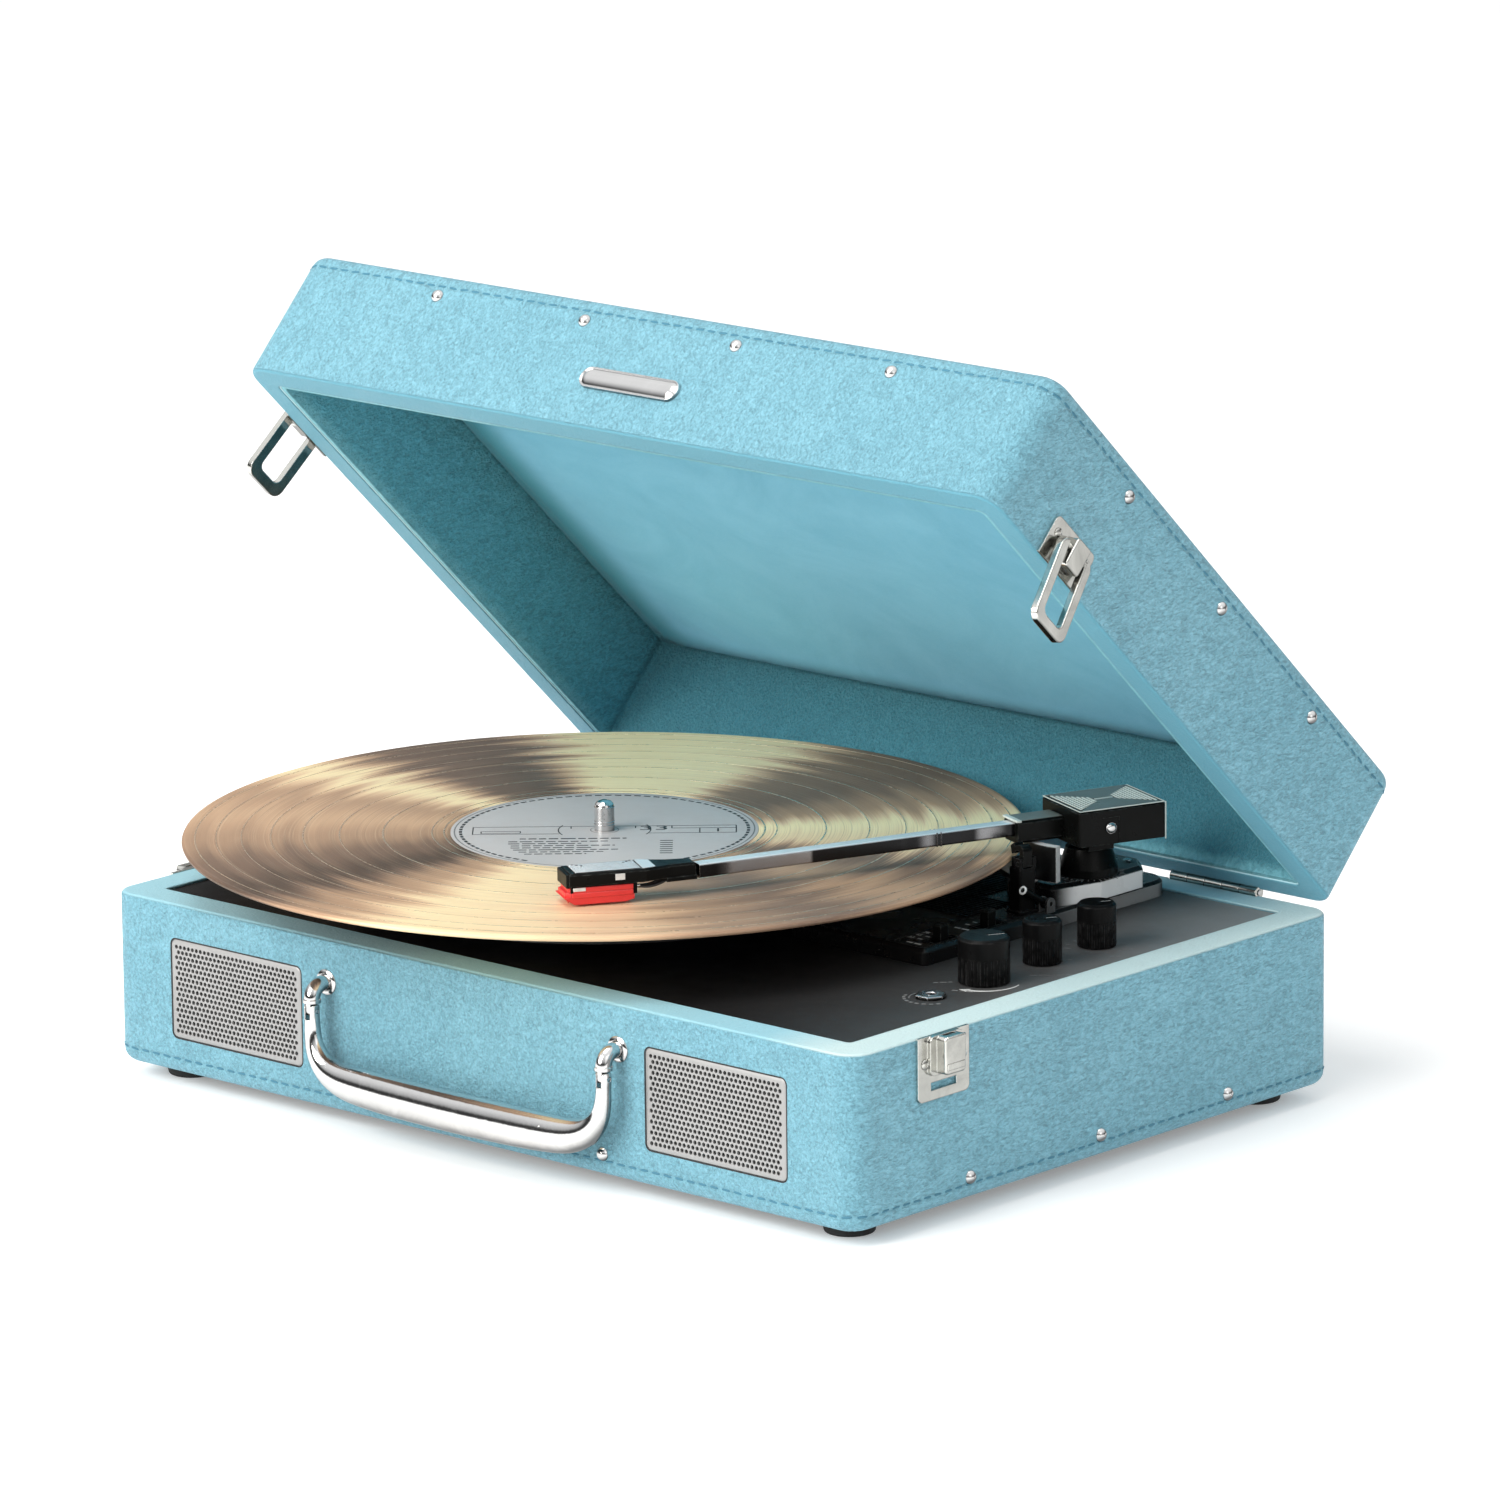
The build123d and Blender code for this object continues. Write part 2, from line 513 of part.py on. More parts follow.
tube = box(11.0, ARM_LEN, -TUBE_HALF_W, TUBE_HALF_W, TUBE_Z0, TUBE_Z1)
tube = fillet(tube.edges().filter_by(Axis.X), 0.7)
save("arm_tube", ARM_FRAME * tube)

# Headshell, cartridge and stylus, local +X along the headshell from the tube's end
HEAD_FRAME = Pos(PIVOT_X + ARM_LEN * ARM_DX, PIVOT_Y + ARM_LEN * ARM_DY, 0) * Rot(0, 0, HEAD_ANG)
HEAD_Z, HEAD_H = 95.0, 4.6
head_face = outline(
    (1.0, -3.6), (10, -4.4), (20, -7.2), (47.5, -6.8),
    (47.5, 6.8), (20, 7.2), (10, 4.4), (1.0, 3.6),
)
head = extrude(Pos(0, 0, HEAD_Z) * head_face, HEAD_H)
head = chamfer(edges_at(head, HEAD_Z + HEAD_H), 0.7)
save("headshell", HEAD_FRAME * head)

save("cartridge_body", HEAD_FRAME * box(23.0, 46.8, -6.2, 6.2, 91.0, HEAD_Z - 0.05))

stylus_face = outline(                              # x, z
    (24.0, 90.95), (24.0, 89.2), (27.0, 88.4), (45.5, 88.4), (49.0, 90.6), (49.0, 90.95),
)
stylus = extrude(Plane.XZ.offset(-6.3) * stylus_face, 12.6)
needle = cone(46.2, 0, 87.66, 88.9, 0.12, 0.5) + box(30, 46.5, -0.5, 0.5, 88.5, 89.3)
save("stylus", HEAD_FRAME * (stylus + needle))


# ---- knobs and switches -------------------------------------------------
def knob(x, y, radius, top, flutes=24):
    """Fluted knob with a pointer groove on top and a bore for the pot shaft."""
    body = cyl(x, y, DECK_TOP + 0.4, top, radius)
    body = chamfer(edges_at(body, top), 0.9)
    flute_r = radius + 0.15
    for i in range(flutes):
        angle = 2 * math.pi * i / flutes
        flute_x, flute_y = x + flute_r * math.cos(angle), y + flute_r * math.sin(angle)
        body -= cyl(flute_x, flute_y, DECK_TOP, DECK_TOP + 9.4, 0.45)
    groove = box(1.0, radius - 1.2, -0.5, 0.5, top - 0.6, top + 1)
    body -= Pos(x, y, 0) * Rot(0, 0, 60) * groove
    body -= cyl(x, y, 60, 74.2, 2.95)
    return body - cyl(x, y, 60, 63.3, 3.5)


for name, x, y, radius, top in KNOBS:
    save(name, knob(x, y, radius, top))

SWITCH_TOP = 73.6
for name, x, y in SWITCHES:
    lever = block(x, y, 1.9, 2.0, 56, SWITCH_TOP)
    save(name, chamfer(edges_at(lever, SWITCH_TOP), 0.4))
switch_bodies = [block(x, y, 6, 9, 49, 59.4) - block(x, y, 2.2, 6, 55, 60) for _, x, y in SWITCHES]
save("switch_bodies", solids_of(switch_bodies))

# ---- handle -------------------------------------------------------------
BEND_R = 5.0
BEND_Y, BEND_Z = HANDLE_Y + BEND_R, HANDLE_ROD_Z - BEND_R


def handle_post(x):
    """Rod out of the front wall, bent down to a collar and a tongue for the bail."""
    section = Plane.XZ.offset(-BEND_Y) * (Pos(x, HANDLE_ROD_Z) * Circle(HANDLE_ROD_R))
    rod = cyl_y(x, BEND_Y, -HALF_D + 8.5, HANDLE_ROD_Z, HANDLE_ROD_R)
    rod += revolve(section, Axis((0, BEND_Y, BEND_Z), (1, 0, 0)), 90)
    rod += cyl(x, HANDLE_Y, 41.5, 42.3, HANDLE_ROD_R) + cyl(x, HANDLE_Y, 41.3, 42.6, 3.25)
    tongue = block(x, HANDLE_Y, 1.0, 2.0, HANDLE_PIN_Z, 41.5)
    rod += tongue + cyl_x(x - 1.0, x + 1.0, HANDLE_Y, HANDLE_PIN_Z, 2.0)
    return rod - cyl_x(x - 5, x + 5, HANDLE_Y, HANDLE_PIN_Z, PIN_HOLE_R)


handle_xs = (-HANDLE_X, HANDLE_X)
pins = [cyl_x(x - 2.5, x + 2.5, HANDLE_Y, HANDLE_PIN_Z, PIN_R) for x in handle_xs]
save("handle_posts", solids_of([handle_post(x) for x in handle_xs]))
save("handle_pins", solids_of(pins))

# The bail: two round legs that swell into a fat oval grip.
# Left half: x, z, half-width across the run in the XZ plane, half-depth in Y, offset to the front
BAIL_HALF = [
    (-HANDLE_X, 40.6, 2.7, 2.7, 0.0), (-HANDLE_X, 35.0, 2.75, 2.75, 0.0),
    (-69.6, 30.0, 3.0, 2.95, 0.1), (-68.4, 25.0, 3.6, 3.3, 0.3),
    (-64.6, 19.8, 4.7, 3.9, 0.6), (-57.5, 16.2, 5.9, 4.6, 0.8),
    (-46.0, 14.7, 6.8, 5.2, 1.0), (-24.0, 14.1, 7.3, 5.7, 1.0),
]
stations = BAIL_HALF + [(0.0, 13.9, 7.4, 5.8, 1.0)]
stations += [(-x, *rest) for x, *rest in reversed(BAIL_HALF)]
sections = []
for i, (x, z, half_width, half_depth, offset) in enumerate(stations):
    if i < 2:
        heading = Vector(0, 0, -1)
    elif i >= len(stations) - 2:
        heading = Vector(0, 0, 1)
    else:
        x0, z0 = stations[i - 1][:2]
        x1, z1 = stations[i + 1][:2]
        heading = Vector(x1 - x0, 0, z1 - z0).normalized()
    plane = Plane(origin=(x, HANDLE_Y - offset, z), x_dir=(0, 1, 0), z_dir=heading)
    sections.append(plane * Ellipse(half_depth, half_width))
bail = loft(sections)
for x in handle_xs:
    # rounded top, slot for the post's tongue and pin hole
    bail += (
        cyl_x(x - 2.4, x + 2.4, HANDLE_Y, HANDLE_PIN_Z, 2.5) & cyl(x, HANDLE_Y, 30, 45, 2.7)
    )
    above_pin = block(x, HANDLE_Y, 4, 4, HANDLE_PIN_Z, 45)
    bail -= above_pin - cyl_x(x - 4, x + 4, HANDLE_Y, HANDLE_PIN_Z, 2.7)
    bail -= block(x, HANDLE_Y, 1.2, 4, HANDLE_PIN_Z - 3.0, 45)
    bail -= cyl_x(x - 5, x + 5, HANDLE_Y, HANDLE_PIN_Z, PIN_HOLE_R)
save("handle_bail", bail)

# ---- lid ----------------------------------------------------------------
lid = case_box(0, LID_Z, LID_TOP, CORNER_R)
lid = fillet(edges_at(lid, LID_TOP), EDGE_R)
lid = fillet(edges_at(lid, LID_Z, min_length=1), RIM_EDGE_R)
lid -= case_box(LID_WALL, LID_Z - 1, LID_TOP - 4, 3)
for side in (-1, 1):
    lid -= hinge_relief(side, LID_Z - 1, HINGE_Z + 3.0)
save("lid_shell", opened(lid))

LINER_INSET, LINER_T = LID_WALL + 0.15, 2.0
liner = case_box(LINER_INSET, LID_Z + 0.6, LID_TOP - 4.2, 2.8)
liner -= case_box(LINER_INSET + LINER_T, LID_Z - 1, LID_TOP - 4.2 - LINER_T, 2)
save("lid_liner", opened(liner))

PAD_Z = LID_Z + 41.5
pad = case_box(16, PAD_Z, LID_TOP - 6.25, 12)
pad = chamfer(edges_at(pad, PAD_Z), 3.0)
save("lid_inner_panel", opened(pad))

BADGE_Y = -HALF_D - 2.0                             # front face
badge = plate_y(0, LID_Z + 19.4, 46, 8.6, 4.25, BADGE_Y, -HALF_D - 0.02)
badge = fillet(edges_at(badge, BADGE_Y, "Y"), 1.0)
save("lid_badge", opened(badge))

# ---- hinges: three knuckles on the base leaf, two on the lid leaf -------
KNUCKLES = 5
KNUCKLE_W = (HINGE_X1 - HINGE_X0) / KNUCKLES
LEAF_Y0, LEAF_Y1 = HALF_D + 0.05, HALF_D + 1.2
base_leaf = box(HINGE_X0, HINGE_X1, LEAF_Y0, LEAF_Y1, 44, HINGE_Z - 2.9)
lid_leaf = box(HINGE_X0, HINGE_X1, LEAF_Y0, LEAF_Y1, HINGE_Z + 2.9, 83.5)
for i in range(KNUCKLES):
    x0, x1 = HINGE_X0 + KNUCKLE_W * i + 0.15, HINGE_X0 + KNUCKLE_W * (i + 1) - 0.15
    knuckle = cyl_x(x0, x1, HINGE_Y, HINGE_Z, 2.3)
    if i % 2 == 0:
        base_leaf += box(x0, x1, LEAF_Y0, LEAF_Y1, HINGE_Z - 3.5, HINGE_Z - 1.2)
        base_leaf += knuckle
    else:
        lid_leaf += box(x0, x1, LEAF_Y0, LEAF_Y1, HINGE_Z + 1.2, HINGE_Z + 3.5)
        lid_leaf += knuckle
base_leaf -= cyl_x(HINGE_X0 - 1, HINGE_X1 + 1, HINGE_Y, HINGE_Z, 1.05)
lid_leaf -= cyl_x(HINGE_X0 - 1, HINGE_X1 + 1, HINGE_Y, HINGE_Z, 1.05)
hinge_pin = cyl_x(HINGE_X0 - 0.2, HINGE_X1 + 0.2, HINGE_Y, HINGE_Z, 1.0)
save("base_hinge_leaves", solids_of([mirrored(base_leaf), base_leaf]))
save("lid_hinge_leaves", opened(solids_of([mirrored(lid_leaf), lid_leaf])))
save("hinge_pins", solids_of([mirrored(hinge_pin), hinge_pin]))

# ---- latches, drawn on the right wall and mirrored ----------------------
LATCH_Y = -84.0
LOOP_X, LOOP_Z = 182.2, LID_Z + 8.5                 # loop pivot with the lid closed
LOOP_TILT = 9.0
PLATE_X0, PLATE_X1 = HALF_W + SEAT, HALF_W + 1.1
BLOCK_X0, CATCH_X1, LID_BLOCK_X1 = HALF_W + 1.0, HALF_W + 6.7, HALF_W + 6.6

catch = plate_x(LATCH_Y, 51.6, 26.4, 22.8, 2.2, PLATE_X0, PLATE_X1)
catch += box(PLATE_X0, PLATE_X1, LATCH_Y - 13.2, LATCH_Y + 13.2, 58, BASE_H)
catch_block = plate_x(LATCH_Y, 56.2, 10.6, 13.4, 1.6, BLOCK_X0, CATCH_X1)
catch_block = fillet(edges_at(catch_block, CATCH_X1, "X"), 0.6)
catch_block -= box(HALF_W + 2.6, HALF_W + 4.2, LATCH_Y - 3, LATCH_Y + 3, 60, 64)
catch += catch_block
catch += plate_x(LATCH_Y, 56.0, 17.0, 14.0, 2.4, BLOCK_X0, HALF_W + 2.6)
catch -= box(HALF_W - 1, HALF_W + 3, LATCH_Y - 6.6, LATCH_Y + 6.6, 43.6, 46.4)
save("base_latch_catches", solids_of([catch, mirrored(catch)]))

lid_plate = plate_x(LATCH_Y, LID_Z + 8.0, 26.4, 15.4, 2.2, PLATE_X0, PLATE_X1)
lid_plate += box(PLATE_X0, PLATE_X1, LATCH_Y - 13.2, LATCH_Y + 13.2, LID_Z + 0.3, LID_Z + 6)
lid_block = plate_x(LATCH_Y, LID_Z + 7.3, 8.6, 11.2, 1.2, BLOCK_X0, LID_BLOCK_X1)
lid_plate += fillet(edges_at(lid_block, LID_BLOCK_X1, "X"), 0.6)
lid_plate -= cyl_y(LOOP_X, LATCH_Y - 8, LATCH_Y + 8, LOOP_Z, 1.45)
save("lid_latch_plates", opened(solids_of([lid_plate, mirrored(lid_plate)])))

loop = plate_x(LATCH_Y, LOOP_Z - 14.8, 20.0, 33.4, 4.2, LOOP_X - 1.3, LOOP_X + 1.3)
loop -= plate_x(LATCH_Y, LOOP_Z - 14.9, 12.0, 24.8, 2.6, LOOP_X - 3, LOOP_X + 3)
loop -= block(LOOP_X, LATCH_Y, 3, 6.0, LOOP_Z - 20, LOOP_Z + 3)
loop = fillet(edges_at(loop, LOOP_X + 1.3, "X", min_length=2.0), 0.5)
loop += cyl_y(LOOP_X, LATCH_Y - 7.5, LATCH_Y + 7.5, LOOP_Z, 1.3)
loop = loop.rotate(Axis((LOOP_X, 0, LOOP_Z), (0, -1, 0)), LOOP_TILT)
save("right_latch_loop", opened(loop))
save("left_latch_loop", opened(mirrored(loop)))
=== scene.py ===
"""A portable record player in a blue suitcase, standing on its feet with the lid open.

The origin is in the middle of the case at its underside. +X is the player's right, -Y its
front (two grilles and a carry handle), +Y its back (hinges) and +Z up. Shapes are drawn in
millimetres and stored in metres. Lid parts are drawn with the lid closed, then swung open.
"""
import math

import bmesh
import bpy
from mathutils import Matrix, Vector, noise

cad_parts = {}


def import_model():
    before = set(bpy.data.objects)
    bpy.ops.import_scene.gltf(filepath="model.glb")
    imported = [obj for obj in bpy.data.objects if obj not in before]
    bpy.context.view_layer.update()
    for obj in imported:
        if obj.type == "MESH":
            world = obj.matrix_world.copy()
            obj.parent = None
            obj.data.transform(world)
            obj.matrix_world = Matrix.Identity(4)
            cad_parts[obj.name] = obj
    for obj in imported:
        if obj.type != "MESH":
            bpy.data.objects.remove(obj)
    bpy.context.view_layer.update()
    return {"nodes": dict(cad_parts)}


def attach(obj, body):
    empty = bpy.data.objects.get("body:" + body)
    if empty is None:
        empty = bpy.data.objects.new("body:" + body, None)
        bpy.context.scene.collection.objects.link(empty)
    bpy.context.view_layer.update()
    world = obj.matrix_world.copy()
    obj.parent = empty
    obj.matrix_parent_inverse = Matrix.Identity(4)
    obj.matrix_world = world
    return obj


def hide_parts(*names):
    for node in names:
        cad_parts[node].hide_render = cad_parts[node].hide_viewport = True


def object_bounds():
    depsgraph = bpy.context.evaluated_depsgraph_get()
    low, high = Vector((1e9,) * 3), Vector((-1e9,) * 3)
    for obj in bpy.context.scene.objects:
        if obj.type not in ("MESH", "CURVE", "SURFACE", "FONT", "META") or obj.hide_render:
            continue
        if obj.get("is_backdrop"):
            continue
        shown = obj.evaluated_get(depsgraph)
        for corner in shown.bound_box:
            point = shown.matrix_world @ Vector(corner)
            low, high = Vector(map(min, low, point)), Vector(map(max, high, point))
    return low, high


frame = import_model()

NODES = frame["nodes"]
MM = 0.001


def move(x, y, z):
    return Matrix.Translation((x, y, z))


def turn(degrees, axis="Z"):
    return Matrix.Rotation(math.radians(degrees), 4, axis)


# ---------------------------------------------------------------- dimensions, mm and degrees
HALF_X, HALF_Y, BASE_H = 178.0, 129.0, 63.0     # case half width, half depth, base height
CORNER_R = 9.6
LID_Z, LID_TOP = 64.2, 116.0                    # rim and top of the closed lid
SEAM_INSET = 6.0                                # stitched seams, in from bottom and top
BASE_SEAM, LID_SEAM = SEAM_INSET, LID_TOP - SEAM_INSET
HINGE_Y, HINGE_Z, LID_ANGLE = 129.58, 63.6, 43.875
DECK, PLINTH, SLAB = 62.0, 68.0, 76.0           # heights of the top faces
SPIN_X, SPIN_Y = -34.4, -22.3                   # the spindle
DISC_TOP, DISC_R, LABEL_R, HOLE_R = 87.6, 150.8, 55.0, 3.62
PIVOT_X, PIVOT_Y, PIVOT_Z = 108.5, 76.0, 96.0
ARM_ANGLE, HEAD_ANGLE, ARM_LENGTH = -111.5, -121.9, 155.0
GRILLE_X, GRILLE_Z, GRILLE_W, GRILLE_H = 115.0, 32.0, 64.6, 36.2
LATCH_Y = -84.0
KNOBS = {    # x, y, radius, top
    "volume_knob": (144.0, -22.2, 9.1, 78.7),
    "source_knob": (142.5, 10.6, 6.9, 78.0),
    "tone_knob": (142.3, 40.3, 6.9, 78.0),
}
SWITCHES = {"speed_switch": (109.6, -5.5), "stop_switch": (109.3, 20.2)}    # x, y
JACK_X, JACK_Y = 143.4, -49.8

# frames that parts are drawn in
ID = Matrix.Identity(4)
OPEN = move(0, HINGE_Y, HINGE_Z) @ turn(-LID_ANGLE, "X") @ move(0, -HINGE_Y, -HINGE_Z)
ARM = move(PIVOT_X, PIVOT_Y, 0) @ turn(ARM_ANGLE)
ARM_DIR_X, ARM_DIR_Y = math.cos(math.radians(ARM_ANGLE)), math.sin(math.radians(ARM_ANGLE))
HEAD = move(PIVOT_X + ARM_LENGTH * ARM_DIR_X, PIVOT_Y + ARM_LENGTH * ARM_DIR_Y, 0)
HEAD = HEAD @ turn(HEAD_ANGLE)
SPINDLE = move(SPIN_X, SPIN_Y, 0)
BACKWARD, FORWARD = turn(-90, "X"), turn(90, "X")    # local Z points to the back, to the front


# ---------------------------------------------------------------- node helpers
MATS = {}


def shade(colour, gain, lift=0.0):
    return tuple(min(1.0, value * gain + lift) for value in colour)


def grey(value):
    return (value,) * 3


class Nodes:
    """A node tree. An input value may be a number, a tuple or another node's socket."""

    def __init__(self, tree):
        self.tree = tree
        tree.nodes.clear()

    def put(self, socket, value):
        if hasattr(value, "is_output"):
            self.tree.links.new(value, socket)
        elif socket.type == "RGBA" and len(value) == 3:
            socket.default_value = (*value, 1.0)
        else:
            socket.default_value = value

    def node(self, kind, inputs=(), **settings):
        node = self.tree.nodes.new(kind)
        for key, value in settings.items():
            setattr(node, key, value)
        for key, value in dict(inputs).items():
            self.put(node.inputs[key], value)
        return node

    def ramp(self, factor, stops, interpolation="LINEAR"):
        """stops: (position, colour), the first at 0 and the last at 1."""
        node = self.node("ShaderNodeValToRGB", {0: factor})
        node.color_ramp.interpolation = interpolation
        elements = node.color_ramp.elements
        elements[0].color, elements[1].color = (*stops[0][1], 1), (*stops[-1][1], 1)
        for position, colour in stops[1:-1]:
            elements.new(position).color = (*colour, 1)
        return node.outputs[0]


class Mat(Nodes):
    """A material kept in MATS. Textures lie in the object's own space, in metres."""

    def __init__(self, name):
        material = MATS[name] = bpy.data.materials.new(name)
        material.use_nodes = True
        super().__init__(material.node_tree)
        self.bsdf = self.node("ShaderNodeBsdfPrincipled")
        self.node("ShaderNodeOutputMaterial", {0: self.bsdf.outputs[0]})
        self.obj = self.node("ShaderNodeTexCoord").outputs["Object"]
        self.normal = None

    def set(self, **inputs):
        for key, value in inputs.items():
            self.put(self.bsdf.inputs[key.replace("_", " ")], value)

    def math(self, op, a, b=None):
        inputs = {0: a} if b is None else {0: a, 1: b}
        return self.node("ShaderNodeMath", inputs, operation=op).outputs[0]

    def add(self, a, b):
        return self.math("ADD", a, b)

    def sub(self, a, b):
        return self.math("SUBTRACT", a, b)

    def mul(self, a, b):
        return self.math("MULTIPLY", a, b)

    def dot(self, a, b):
        node = self.node("ShaderNodeVectorMath", {0: a, 1: b}, operation="DOT_PRODUCT")
        return node.outputs["Value"]

    def xyz(self, vector=None):
        return self.node("ShaderNodeSeparateXYZ", {0: vector or self.obj}).outputs

    def mapped(self, **inputs):
        """Object coordinates through a Mapping node."""
        return self.node("ShaderNodeMapping", {"Vector": self.obj, **inputs}).outputs[0]

    def closed_lid(self):
        """Coordinates as they are with the lid shut."""
        shut = OPEN.inverted()
        return self.mapped(Rotation=shut.to_euler(), Location=shut.to_translation() * MM)

    def noise(self, scale, detail=4.0, rough=0.55, at=None, warp=0.0):
        inputs = {"Vector": at or self.obj, "Scale": scale, "Detail": detail,
                  "Roughness": rough, "Distortion": warp}
        return self.node("ShaderNodeTexNoise", inputs).outputs["Fac"]

    def line_noise(self, along, scale, detail, rough):
        inputs = {"W": along, "Scale": scale, "Detail": detail, "Roughness": rough}
        return self.node("ShaderNodeTexNoise", inputs, noise_dimensions="1D").outputs["Fac"]

    def remap(self, value, span=(0.3, 0.7), to=(0.0, 1.0), smooth=False):
        inputs = dict(enumerate((value, *span, *to)))
        node = self.node("ShaderNodeMapRange", inputs, clamp=True)
        if smooth:
            node.interpolation_type = "SMOOTHSTEP"
        return node.outputs[0]

    def mix(self, factor, a, b):
        inputs = {0: factor, 6: a, 7: b}
        return self.node("ShaderNodeMix", inputs, data_type="RGBA").outputs[2]

    def over(self, under, colour, mask, amount):
        """Lays colour over what is under it, where the mask is, at most by amount."""
        return self.mix(self.mul(mask, amount), under, colour)

    def set_normal(self, normal):
        self.normal = normal
        self.set(Normal=normal)

    def bump(self, height, distance, strength=1.0):
        inputs = {"Distance": distance, "Strength": strength, "Height": height}
        if self.normal is not None:
            inputs["Normal"] = self.normal
        self.set_normal(self.node("ShaderNodeBump", inputs).outputs[0])

    def round_edges(self, radius):
        """Rounds the shading of sharp edges."""
        self.set_normal(self.node("ShaderNodeBevel", {"Radius": radius}, samples=4).outputs[0])

    def edge_mask(self):
        """1 on the rounded edges; taken before any bump."""
        flat = self.node("ShaderNodeNewGeometry").outputs["Normal"]
        return self.remap(self.dot(self.normal, flat), span=(0.995, 0.86))


# ---------------------------------------------------------------- materials
def surface(name, colour, rough, metal=0.0, var=0.12, var_scale=25.0, grain=1500.0,
            depth=0.00003, edge=0.0004, wear=None, wear_amount=0.5, brushed=None, spec=0.5,
            sheen=0.0, scratch=0.0):
    """A finish with colour variation, uneven gloss, fine grain and rubbed edges.

    rough: range of roughness; var: colour variation; grain, depth: scale and height of the
    grain; edge: rounding radius; wear: colour of rubbed edges; brushed: stretch of the grain.
    """
    m = Mat(name)
    if edge:
        m.round_edges(radius=edge)
    if wear:
        rubbed = m.edge_mask()
    patches = m.remap(m.noise(scale=var_scale, detail=5, rough=0.6))
    c = m.mix(patches, shade(colour, 1 - var), shade(colour, 1 + var))
    if wear:
        spots = m.remap(m.noise(scale=420, detail=4, rough=0.7), span=(0.42, 0.62))
        c = m.over(c, wear, m.mul(rubbed, spots), amount=wear_amount)
    r = m.remap(m.noise(scale=var_scale * 3.1, detail=6, rough=0.65), to=rough)
    if scratch:
        streaks = m.noise(scale=60, detail=2, rough=0.5, at=m.mapped(Scale=(1.0, 14.0, 3.0)))
        r = m.add(r, m.mul(m.remap(streaks, span=(0.6, 0.66)), scratch))
    at = m.mapped(Scale=brushed) if brushed else None
    m.bump(m.noise(scale=grain, detail=3, rough=0.6, at=at), distance=depth)
    m.set(Base_Color=c, Roughness=r, Metallic=metal, Specular_IOR_Level=spec,
          Sheen_Weight=sheen)


